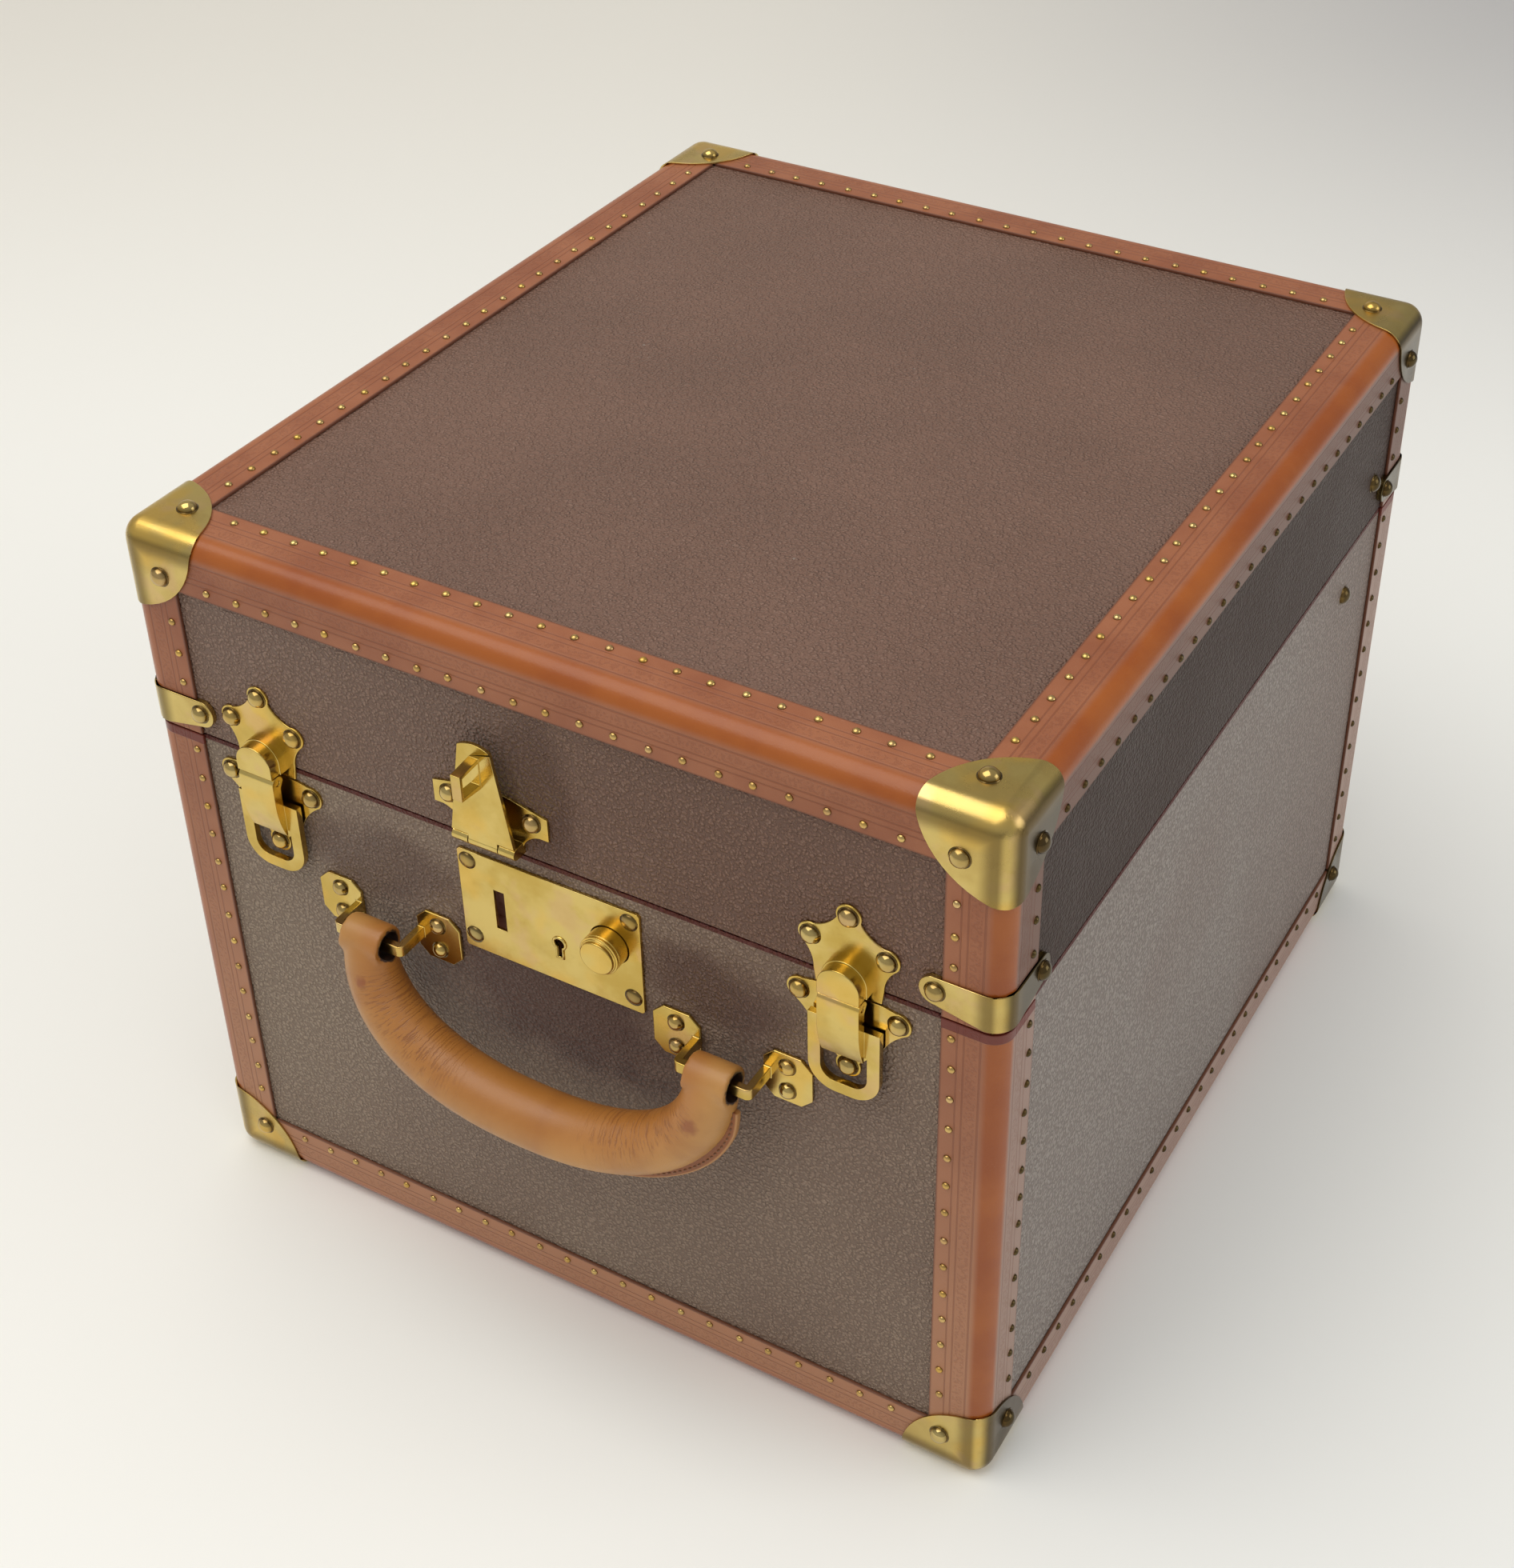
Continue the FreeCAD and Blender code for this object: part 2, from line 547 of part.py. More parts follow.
cap_outside = cube_corner("cap_outside", "0", "Fillet", Radius="strip_radius + cap_thickness")
cap_inside = cube_corner("cap_inside", "cap_thickness", "Chamfer", Size="cap_relief")
cap_shell = boolean("Cut", "cap_shell", cap_outside, cap_inside)
lobes = []
for axis in (X_AXIS, Y_AXIS, Z_AXIS):
    lobe = document.addObject("Part::Cylinder", f"cap_lobe_{len(lobes)}")
    bind(lobe, Radius="cap_reach", Height="2 * cap_reach")
    place(lobe, 0, 0, 0, FreeCAD.Rotation(Z_AXIS, axis))
    lobes.append(lobe)
cap = document.addObject("Part::MultiCommon", "cap")
cap.Shapes = [cap_shell] + lobes


# Lid straps: brass bands round the lid's upright edges just above the seam, with rounded ends
def strap_side(name, plane):
    """The strap's outline on one face, as a long prism."""
    body = new_body(name)
    sketch = sketch_on(body, plane)
    outline(sketch, [
        ("-strip_radius", "-strap_corner - strap_dip"), ("strip_radius", "-strap_corner - strap_dip"),
        ("strap_round", "-strap_end"), ("strap_round + strap_end", "0", "strap_end"),
        ("strap_round", "strap_end", "strap_end"), ("strip_radius", "strap_corner - strap_dip"),
        ("-strip_radius", "strap_corner - strap_dip"),
    ])
    feature(body, "Pad", sketch, "4 * cap_reach", symmetric=True)
    return body


band = new_body("strap_band")
band_sketch = sketch_on(band, "XY_Plane")
band_end = "strap_round + strap_end"
outline(band_sketch, [
    (band_end, "-cap_thickness"), (band_end, "strip_thickness"), ("strip_end", "strip_thickness"),
    ("strip_end", "0"), ("cap_relief", "0"), ("0", "cap_relief"), ("0", "strip_end"),
    ("strip_thickness", "strip_end"), ("strip_thickness", band_end), ("-cap_thickness", band_end),
    ("-cap_thickness", "strip_radius"), ("strip_radius", "-cap_thickness", "strip_radius + cap_thickness"),
])
feature(band, "Pad", band_sketch, "2 * (strap_corner + strap_dip)", symmetric=True)
strap = document.addObject("Part::MultiCommon", "strap")
strap.Shapes = [band, strap_side("strap_front", "XZ_Plane"), strap_side("strap_flank", "YZ_Plane")]


# Stay studs: pins through the side walls, each with a head inside that holds the link
def stud(name, link):
    """A stud that carries a link at that depth from the strips' outer plane."""
    body = new_body(name)
    pivot_end = f"{link} + stay_thickness + running_gap - {COVER}"
    shank = sketch_on(body, "XY_Plane")
    hole(shank, "0", "0", "stud_radius")
    feature(body, "Pad", shank, pivot_end, reverse=True)
    head = sketch_on(body, "XY_Plane", f"-({pivot_end})")
    trim = "stud_shoulder * tan(22.5)"
    outline(head, mirrored([
        (trim, "-stud_shoulder"), ("stud_shoulder", f"-({trim})"),
        ("stud_shoulder", trim), (trim, "stud_shoulder"),
    ]))
    feature(body, "Pad", head, "stud_head", reverse=True)
    return body


base_stud = stud("base_stud", "stay_lower_in")
lid_stud = stud("lid_stud", "stay_upper_in")


# Latches: a keeper plate on the lid, a plate with a lug and its pin on the base, a lever with a pull loop
def latch_keeper(name, x):
    body = new_body(name)
    plate = sketch_on(body, "XZ_Plane")
    outline(plate, mirrored([
        ("keeper_half", "-keeper_foot"), ("keeper_half + 0.8", "1"),
        ("keeper_side + lobe_radius * sin(40)", "keeper_rise - lobe_radius * cos(40)", "-3 * lobe_radius"),
        ("keeper_side + lobe_radius", "keeper_rise", "lobe_radius"),
        ("keeper_side - lobe_radius * sin(10)", "keeper_rise + lobe_radius * cos(10)", "lobe_radius"),
        ("lobe_radius * cos(20)", "keeper_top - lobe_radius * sin(20)", "-3 * lobe_radius"),
        ("0", "keeper_top + lobe_radius", "lobe_radius"),
    ]))
    feature(body, "Pad", plate, "plate_thickness")
    housing = sketch_on(body, "XZ_Plane")
    outline(housing, [
        ("dome_radius", "-dome_foot"), ("dome_radius", "dome_spring"),
        ("0", "dome_spring + dome_radius", "dome_radius"),
        ("-dome_radius", "dome_spring", "dome_radius"), ("-dome_radius", "-dome_foot"),
    ])
    feature(body, "Pad", housing, "dome_depth")
    room = sketch_on(body, "XY_Plane", f"-dome_foot - {PAST}")
    half = "dome_radius - dome_wall"
    outline(room, [
        (f"-({half})", "dome_wall - dome_depth"), (half, "dome_wall - dome_depth"),
        (half, "-plate_thickness"), (f"-({half})", "-plate_thickness"),
    ])
    feature(body, "Pocket", room, f"dome_foot + {PAST} + dome_spring", reverse=True)
    finish(body, x, FRONT, "seam_height")


def latch_plate(name, x):
    body = new_body(name)
    plate = sketch_on(body, "XZ_Plane")
    ear_start = ("ear_x - lobe_radius * sin(10)", "-ear_drop + lobe_radius * cos(10)")
    ear_finish = ("ear_x + lobe_radius * sin(45)", "-ear_drop - lobe_radius * cos(45)")
    tail_start = ("lobe_radius * cos(30)", "-tail_drop + lobe_radius * sin(30)")
    outline(plate, mirrored([
        ("0", "-tail_drop - lobe_radius"), (*tail_start, "lobe_radius"),
        ("loop_half - 1.5", "-lever_foot + 3"),
        (*ear_finish, "-5 * lobe_radius"), ("ear_x + lobe_radius", "-ear_drop", "lobe_radius"),
        (*ear_start, "lobe_radius"), ("keeper_half", "-latch_plate_top"),
    ]))
    feature(body, "Pad", plate, "plate_thickness")
    lug = sketch_on(body, "YZ_Plane")
    lug_trim = "lug_radius * sin(45)"
    outline(lug, [
        ("0", "-latch_plate_top - 4 * lug_radius"), ("0", "-latch_plate_top"),
        ("-1.5 * plate_thickness", "-latch_plate_top"), ("-latch_pin_out + lug_radius", "-latch_pin_drop"),
        (f"-latch_pin_out + {lug_trim}", f"-latch_pin_drop + {lug_trim}"),
        ("-latch_pin_out", "-latch_pin_drop + lug_radius"),
        (f"-latch_pin_out - {lug_trim}", f"-latch_pin_drop + {lug_trim}"),
        ("-latch_pin_out - lug_radius", "-latch_pin_drop"),
        (f"-latch_pin_out - {lug_trim}", f"-latch_pin_drop - {lug_trim}"),
        ("-latch_pin_out", "-latch_pin_drop - lug_radius"),
        ("-plate_thickness", "-latch_plate_top - 4 * lug_radius"),
    ])
    feature(body, "Pad", lug, "2 * lug_half", symmetric=True)
    pin = sketch_on(body, "YZ_Plane")
    hole(pin, "-latch_pin_out", "-latch_pin_drop", "latch_pin_radius")
    feature(body, "Pad", pin, "2 * (lever_half - lug_gap)", symmetric=True)
    finish(body, x, FRONT, "seam_height")


def latch_lever(name, x):
    body = new_body(name)
    side = sketch_on(body, "YZ_Plane")
    front = "-latch_pin_out - barrel_radius"
    back = "-loop_out - loop_thickness"
    turn_in = "(latch_pin_out + barrel_radius - lever_toe)"
    bend = f"({turn_in} ^ 2 + (lever_foot - lever_flat) ^ 2) / (2 * {turn_in})"
    outline(side, [
        (back, "-lever_foot"), (back, "-latch_pin_drop - barrel_radius"),
        ("-latch_pin_out + barrel_radius", "-latch_pin_drop"),
        ("-latch_pin_out", "-latch_pin_drop + barrel_radius", "barrel_radius"),
        (front, "-latch_pin_drop", "barrel_radius"), (front, "-lever_flat"),
        ("-lever_toe", "-lever_foot", bend),
    ])
    feature(body, "Pad", side, "2 * lever_half", symmetric=True)
    recess = sketch_on(body, "YZ_Plane")
    room = "(lug_radius + lug_clear)"
    room_trim = f"({room} * tan(22.5))"
    outline(recess, [
        ("-loop_out", "-latch_plate_top - 4.4 * lug_radius"),
        (f"-latch_pin_out - {room_trim}", f"-latch_pin_drop - {room}"),
        (f"-latch_pin_out - {room}", f"-latch_pin_drop - {room_trim}"),
        (f"-latch_pin_out - {room}", f"-latch_pin_drop + {room_trim}"),
        (f"-latch_pin_out - {room_trim}", f"-latch_pin_drop + {room}"),
        (f"-latch_pin_out - {room_trim}", PAST), ("-loop_out", PAST),
    ])
    feature(body, "Pocket", recess, "2 * (lug_half + lug_gap)", symmetric=True)
    loop = sketch_on(body, "XZ_Plane", "loop_out")
    for inset, top in (("0", "loop_top"), ("loop_band", "lever_foot - 2")):
        half = f"(loop_half - {inset})"
        radius = f"(loop_round - {inset})"
        foot = f"(-loop_foot + {inset})"
        outline(loop, [
            (f"-{half}", f"-({top})"), (f"-{half}", f"{foot} + {radius}"),
            (f"{radius} - {half}", foot, radius), (f"{half} - {radius}", foot),
            (half, f"{foot} + {radius}", radius), (half, f"-({top})"),
        ])
    feature(body, "Pad", loop, "loop_thickness")
    bore = sketch_on(body, "YZ_Plane")
    hole(bore, "-latch_pin_out", "-latch_pin_drop", "latch_pin_radius + running_gap")
    feature(body, "Pocket", bore, "4 * lever_half", symmetric=True)
    finish(body, x, FRONT, "seam_height")


def cross_pin(name, x, y, z, radius, half):
    """A round pin along X, centred on a point."""
    pin = document.addObject("Part::Cylinder", name)
    bind(pin, Radius=radius, Height=f"2 * ({half})")
    place(pin, f"{x} - ({half})", y, z, ALONG_X)
    return pin


LATCHES = {"left": "-latch_left", "right": "latch_right"}
for side, x in LATCHES.items():
    latch_keeper(f"latch_keeper_{side}", x)
    latch_plate(f"latch_plate_{side}", x)
    latch_lever(f"latch_lever_{side}", x)

# Lock: a face plate with slot, keyhole and push button, and a sheet-metal case let into the front board
lock_plate = new_body("lock_plate")
face = sketch_on(lock_plate, "XZ_Plane")
outline(face, mirrored([
    ("lock_half_length - lock_corner", "-lock_half_width"),
    ("lock_half_length", "-lock_half_width + lock_corner"),
    ("lock_half_length", "lock_half_width - lock_corner"),
    ("lock_half_length - lock_corner", "lock_half_width"),
]))
outline(face, [
    ("-slot_x - slot_half_width", "-slot_drop - slot_half_length"),
    ("-slot_x + slot_half_width", "-slot_drop - slot_half_length"),
    ("-slot_x + slot_half_width", "-slot_drop + slot_half_length"),
    ("-slot_x - slot_half_width", "-slot_drop + slot_half_length"),
])
outline(face, [
    ("key_x - key_half", "-key_drop - key_foot"), ("key_x + key_half", "-key_drop - key_foot"),
    ("key_x + key_half", "-key_drop - key_neck"), ("key_x", "-key_drop + key_radius", "key_radius"),
    ("key_x - key_half", "-key_drop - key_neck", "key_radius"),
])
hole(face, "button_x", "button_rise", "button_radius + button_gap")
feature(lock_plate, "Pad", face, "lock_thickness")
finish(lock_plate, 0, FRONT, "lock_middle")

lock_box = block("lock_box", "-lock_case_half", FRONT, "lock_middle - lock_case_tall", "2 * lock_case_half",
                 "lock_case_depth", "2 * lock_case_tall")
lock_room = block("lock_room", "-lock_case_half + lock_case_wall", f"{FRONT} - {PAST}",
                  "lock_middle - lock_case_tall + lock_case_wall", "2 * (lock_case_half - lock_case_wall)",
                  f"lock_case_depth - lock_case_wall + {PAST}", "2 * (lock_case_tall - lock_case_wall)")
finish(boolean("Cut", "lock_case", lock_box, lock_room))

lock_button = new_body("lock_button")
stem = sketch_on(lock_button, "XZ_Plane", "-button_gap")
hole(stem, "0", "0", "button_radius")
feature(lock_button, "Pad", stem, "button_out + button_gap")
flange = sketch_on(lock_button, "XZ_Plane", "-button_gap - flange_depth")
trim = "button_flange * tan(22.5)"
outline(flange, mirrored([
    (trim, "-button_flange"), ("button_flange", f"-({trim})"),
    ("button_flange", trim), (trim, "button_flange"),
]))
feature(lock_button, "Pad", flange, "flange_depth")
finish(lock_button, "button_x", FRONT, "lock_middle + button_rise")

lock_bolt = new_body("lock_bolt")
bolt_side = sketch_on(lock_bolt, "XZ_Plane", "-5.2")
bolt_nose = "-slot_x + slot_half_width + 1"
outline(bolt_side, [
    (f"{bolt_nose} + 3", "-slot_drop - 5"), ("button_x - 14", "-slot_drop - 5"),
    ("button_x - 14", "-slot_drop + 5"), (f"{bolt_nose} + 3", "-slot_drop + 5"),
    (bolt_nose, "-slot_drop + 2.5"), (bolt_nose, "-slot_drop - 2.5"),
])
feature(lock_bolt, "Pad", bolt_side, "2.4")
finish(lock_bolt, 0, FRONT, "lock_middle")

# Hasp: a winged plate with its pin on the lid, and a tapering leaf whose staple drops into the lock's slot
hasp_plate = new_body("hasp_plate")
wings = sketch_on(hasp_plate, "XZ_Plane")
outline(wings, mirrored([
    ("hasp_half", "-hasp_knuckle / 2"), ("hasp_half", "1"),
    ("wing_x + 3", "wing_rise - 6", "-2 * lobe_radius"), ("wing_x + 7", "wing_rise - 6"),
    ("wing_x + 7", "wing_rise + 3.8"), ("hasp_tip_half", "wing_rise + 8"),
]))
feature(hasp_plate, "Pad", wings, "plate_thickness")
knuckles = sketch_on(hasp_plate, "YZ_Plane")
outline(knuckles, [
    ("0", "-hasp_knuckle"), ("0", "hasp_knuckle"), ("-hasp_out", "hasp_knuckle"),
    ("-hasp_out - hasp_knuckle", "0", "hasp_knuckle"), ("-hasp_out", "-hasp_knuckle", "hasp_knuckle"),
])
feature(hasp_plate, "Pad", knuckles, "2 * hasp_half", symmetric=True)
gap = sketch_on(hasp_plate, "YZ_Plane")
outline(gap, [
    ("-plate_thickness", "-2 * hasp_knuckle"), ("-plate_thickness", "2 * hasp_knuckle"),
    ("-4 * hasp_knuckle", "2 * hasp_knuckle"), ("-4 * hasp_knuckle", "-2 * hasp_knuckle"),
])
feature(hasp_plate, "Pocket", gap, "2 * (hasp_middle + lug_gap)", symmetric=True)
pin = sketch_on(hasp_plate, "YZ_Plane")
hole(pin, "-hasp_out", "0", "hasp_pin_radius")
feature(hasp_plate, "Pad", pin, "2 * hasp_half", symmetric=True)
finish(hasp_plate, "-hasp_x", FRONT, "seam_height + hasp_rise")

hasp_leaf = new_body("hasp_leaf")
leaf = sketch_on(hasp_leaf, "XZ_Plane", "leaf_ahead")
outline(leaf, [
    ("-hasp_middle", "0"), ("hasp_middle", "0"), ("hasp_middle", "hasp_shoulder"),
    ("hasp_half", "hasp_shoulder"),
    ("hasp_tip_half", "hasp_tip"), ("-hasp_tip_half", "hasp_tip", "hasp_tip_radius"),
    ("-hasp_half", "hasp_shoulder"), ("-hasp_middle", "hasp_shoulder"),
])
feature(hasp_leaf, "Pad", leaf, "hasp_leaf", symmetric=True)
roll = sketch_on(hasp_leaf, "YZ_Plane")
hole(roll, "0", "0", "hasp_knuckle")
feature(hasp_leaf, "Pad", roll, "2 * hasp_middle", symmetric=True)
staple = sketch_on(hasp_leaf, "YZ_Plane")
outline(staple, [
    ("-leaf_ahead", "staple_start"), ("-leaf_ahead", "staple_finish"),
    ("-staple_reach", "staple_finish - 1"), ("-staple_reach", "staple_start + 1.5"),
])
window_near = "-leaf_ahead - hasp_leaf / 2 - lug_gap"
outline(staple, [
    (window_near, "staple_start + staple_wall + 0.5"), (window_near, "staple_finish - staple_wall - 0.5"),
    ("-staple_reach + staple_wall", "staple_finish - staple_wall - 1"),
    ("-staple_reach + staple_wall", "staple_start + staple_wall + 1.2"),
])
feature(hasp_leaf, "Pad", staple, "2 * staple_half", symmetric=True)
bore = sketch_on(hasp_leaf, "YZ_Plane")
hole(bore, "0", "0", "hasp_pin_radius + running_gap")
feature(hasp_leaf, "Pocket", bore, "4 * hasp_half", symmetric=True)
finish(hasp_leaf, "-hasp_x", f"{FRONT} - hasp_out", "seam_height + hasp_rise")


# Handle brackets: eight-sided plates with a bent prong, a pair for each end of the handle
def handle_bracket(name, x, rotation):
    body = new_body(name)
    plate = sketch_on(body, "XZ_Plane")
    outline(plate, mirrored([
        ("bracket_half - bracket_cut", "-bracket_tall"), ("bracket_half", "-bracket_tall + bracket_cut"),
        ("bracket_half", "bracket_tall - bracket_cut"), ("bracket_half - bracket_cut", "bracket_tall"),
    ]))
    feature(body, "Pad", plate, "bracket_plate")
    prong = sketch_on(body, "XY_Plane")
    near = "-bracket_half + prong_thickness"
    inner_y = "-handle_out + prong_thickness / 2"
    outer_y = "-handle_out - prong_thickness / 2"
    outline(prong, [
        ("-bracket_half", "0"), ("-bracket_half", inner_y), ("-prong_reach", inner_y),
        ("-prong_reach", outer_y),
        (f"{near} - prong_bend", outer_y), (near, f"{outer_y} + prong_bend", "prong_bend"), (near, "0"),
    ])
    feature(body, "Pad", prong, "2 * prong_half", symmetric=True)
    place(body, x, FRONT, "handle_height", rotation)
    return body


for side, x in (("left", "-handle_x"), ("right", "handle_x")):
    pair = [
        handle_bracket(f"bracket_{side}_right", f"{x} + bracket_x", FreeCAD.Rotation()),
        handle_bracket(f"bracket_{side}_left", f"{x} - bracket_x", FreeCAD.Rotation(Y_AXIS, 180)),
    ]
    finish(compound(f"handle_brackets_{side}", pair))

# Handle: a stuffed leather grip in a flat U, its ends rolled into loops round the prongs
SECTION_ANGLES = [0, 7, 19, 37, 62, 90]
GRIP_POWER = 2 / 2.25
GRIP_SWELL = 0.4
GRIP_SIDES = 20


def grip_point(angle):
    """Middle line of the grip: half of a superellipse, leaning out towards its bottom."""
    across = math.copysign(abs(math.cos(angle)) ** GRIP_POWER, math.cos(angle))
    down = abs(math.sin(angle)) ** GRIP_POWER
    return across, down


def grip_section(angle):
    """A many-sided oval across the grip's middle line, flat at the loops and round where it is held."""
    across, down = grip_point(math.radians(angle))
    step = math.radians(0.5)
    ahead = grip_point(math.radians(angle) + step)
    behind = grip_point(max(math.radians(angle) - step, 0))
    run = FreeCAD.Vector((ahead[0] - behind[0]) * size("handle_x"), 0,
                         (behind[1] - ahead[1]) * size("handle_drop"))
    if angle in (0, 180):
        run = FreeCAD.Vector(0, 0, -1 if angle == 0 else 1)
    run.normalize()
    swell = down ** GRIP_SWELL
    wide = f"(grip_end + (grip_half - grip_end) * {swell:.4f})"
    deep = f"(grip_flat + (grip_deep - grip_flat) * {swell:.4f})"
    oval = document.addObject("Sketcher::SketchObject", f"grip_section_{angle}")
    turns = [360 / GRIP_SIDES * index for index in range(GRIP_SIDES)]
    outline(oval, [(f"{wide} * cos({turn})", f"{deep} * sin({turn})") for turn in turns])
    depth = f"{FRONT} - handle_out - handle_lean * {down:.4f}"
    place(oval, f"handle_x * {across:.4f}", depth, f"handle_height - handle_drop * {down:.4f}",
          turned(Y_AXIS.cross(run), Y_AXIS))
    return oval


all_angles = SECTION_ANGLES + [180 - angle for angle in SECTION_ANGLES[-2::-1]]
grip = document.addObject("Part::Loft", "grip")
grip.Sections = [grip_section(angle) for angle in all_angles]
grip.Solid = True
grip.Ruled = True
eyes = []
eye_bores = []
for side, x in (("left", "-handle_x"), ("right", "handle_x")):
    depth = f"{FRONT} - handle_out"
    eyes.append(cross_pin(f"eye_{side}", x, depth, "handle_height", "eye_radius", "grip_end + lug_gap"))
    eye_bores.append(cross_pin(f"eye_bore_{side}", x, depth, "handle_height", "eye_bore", "2 * grip_end"))
grip_and_eyes = document.addObject("Part::MultiFuse", "grip_and_eyes")
grip_and_eyes.Shapes = [grip] + eyes
finish(boolean("Cut", "handle_grip", grip_and_eyes, compound("eye_bores", eye_bores)))


# Back hinges: pairs of brass leaves whose knuckles interlock just behind the seam
KNUCKLES = 3


def hinge_leaf(name, x, owned, with_pin, rotation):
    """A leaf with the owned knuckles, drawn below its pin, which it holds or turns on."""
    body = new_body(name)
    plate = sketch_on(body, "XZ_Plane")
    outline(plate, mirrored([
        ("hinge_half - hinge_corner", "-hinge_leaf"), ("hinge_half", "-hinge_leaf + hinge_corner"),
        ("hinge_half", "-hinge_clear"),
    ]))
    feature(body, "Pad", plate, "hinge_thickness")
    knuckle = sketch_on(body, "YZ_Plane")
    rise = "sqrt(hinge_knuckle ^ 2 - (hinge_out - hinge_thickness) ^ 2)"
    outline(knuckle, [
        ("0", "-hinge_clear - 1"), ("0", "-0.6"),
        ("-hinge_out + hinge_knuckle * cos(14)", "hinge_knuckle * sin(14)"),
        ("-hinge_out + hinge_knuckle * cos(52)", "hinge_knuckle * sin(52)"),
        ("-hinge_out", "hinge_knuckle"), ("-hinge_out - hinge_knuckle", "0", "hinge_knuckle"),
        ("-hinge_out", "-hinge_knuckle", "hinge_knuckle"), ("-hinge_thickness", f"-{rise}"),
        ("-hinge_thickness", "-hinge_clear - 1"),
    ])
    feature(body, "Pad", knuckle, "2 * hinge_half", symmetric=True)
    notches = sketch_on(body, "XY_Plane")
    pitch = f"(2 * hinge_half / {KNUCKLES})"
    for index in range(KNUCKLES):
        if index in owned:
            continue
        left = f"-hinge_half + {index} * {pitch} - knuckle_gap"
        right = f"-hinge_half + {index + 1} * {pitch} + knuckle_gap"
        outline(notches, [(left, PAST), (left, "-3 * hinge_out"), (right, "-3 * hinge_out"), (right, PAST)])
    feature(body, "Pocket", notches, "2 * hinge_clear", symmetric=True)
    axle = sketch_on(body, "YZ_Plane")
    hole(axle, "-hinge_out", "0", "hinge_pin" if with_pin else "hinge_pin + running_gap")
    feature(body, "Pad" if with_pin else "Pocket", axle, "2 * hinge_half", symmetric=True)
    finish(body, x, BACK, "seam_height", rotation)


for side, x in (("left", "-hinge_x"), ("right", "hinge_x")):
    hinge_leaf(f"hinge_base_leaf_{side}", x, (0, 2), True, FreeCAD.Rotation(Z_AXIS, 180))
    hinge_leaf(f"hinge_lid_leaf_{side}", x, (1,), False, FreeCAD.Rotation(X_AXIS, 180))

# Lid stays: two flat brass links on each side, folded forward when the lid is shut
span_y = size("stay_lid_y - stay_base_y")
span_z = size("stay_lid_z - stay_base_z")
stay_slope = math.degrees(math.atan2(span_z, span_y))
stay_fold = math.degrees(math.acos(math.hypot(span_y, span_z) / 2 / size("stay_length")))


def stay_link(name, x, y, z, angle):
    """A flat link along local Y from its stud, its ends trimmed to a half octagon."""
    body = new_body(name)
    bar = sketch_on(body, "YZ_Plane")
    trim = "stay_half * tan(22.5)"
    outline(bar, [
        (f"-({trim})", "-stay_half"), (f"stay_length + {trim}", "-stay_half"),
        ("stay_length + stay_half", f"-({trim})"), ("stay_length + stay_half", trim),
        (f"stay_length + {trim}", "stay_half"), (f"-({trim})", "stay_half"), ("-stay_half", trim),
        ("-stay_half", f"-({trim})"),
    ])
    hole(bar, "0", "0", "stud_radius + running_gap")
    feature(body, "Pad", bar, "stay_thickness")
    finish(body, x, y, z, FreeCAD.Rotation(X_AXIS, angle))


for side, sign in (("left", -1), ("right", 1)):
    lower_x = f"{sign} * ({HALF_WIDTH} - stay_lower_in - stay_thickness / 2) - stay_thickness / 2"
    upper_x = f"{sign} * ({HALF_WIDTH} - stay_upper_in - stay_thickness / 2) - stay_thickness / 2"
    stay_link(f"stay_lower_{side}", lower_x, "stay_base_y", "stay_base_z", stay_slope + stay_fold)
    stay_link(f"stay_upper_{side}", upper_x, "stay_lid_y", "stay_lid_z", stay_slope + 180 - stay_fold)

# Groups of like pieces: caps, straps and studs set out round the case
document.recompute()


def copies(name, places):
    """One object of copies of a piece; each place is the piece, a point of the case and a rotation."""
    group = document.addObject("Part::Feature", name)
    shapes = []
    for piece, point, rotation in places:
        shape = piece.Shape.copy()
        shape.Placement = FreeCAD.Placement(FreeCAD.Vector(*[size(text) for text in point]), rotation)
        shapes.append(shape)
    group.Shape = Part.makeCompound(shapes)
    finish(group)


base_caps = []
lid_caps = []
straps = []
for side_x, side_y in CORNERS.values():
    spot = (f"{side_x} * ({HALF_WIDTH} + cap_thickness)", f"{side_y} * ({HALF_DEPTH} + cap_thickness)")
    base_caps.append((cap, (*spot, "0"), corner_rotation(side_x, side_y, 1)))
    lid_caps.append((cap, (*spot, f"{CROWN} + cap_thickness"), corner_rotation(side_x, side_y, -1)))
    strap_spot = (f"{side_x} * {HALF_WIDTH}", f"{side_y} * {HALF_DEPTH}", "seam_height + strap_middle")
    straps.append((strap, strap_spot, corner_rotation(side_x, side_y, 1)))
copies("base_corners", base_caps)
copies("lid_corners", lid_caps)
copies("lid_straps", straps)

base_studs = []
lid_studs = []
for side, turn in ((-1, -90), (1, 90)):
    facing = FreeCAD.Rotation(Y_AXIS, turn)
    base_studs.append((base_stud, (f"{side} * {SIDE}", "stay_base_y", "stay_base_z"), facing))
    lid_studs.append((lid_stud, (f"{side} * {SIDE}", "stay_lid_y", "stay_lid_z"), facing))
copies("stay_studs_base", base_studs)
copies("stay_studs_lid", lid_studs)

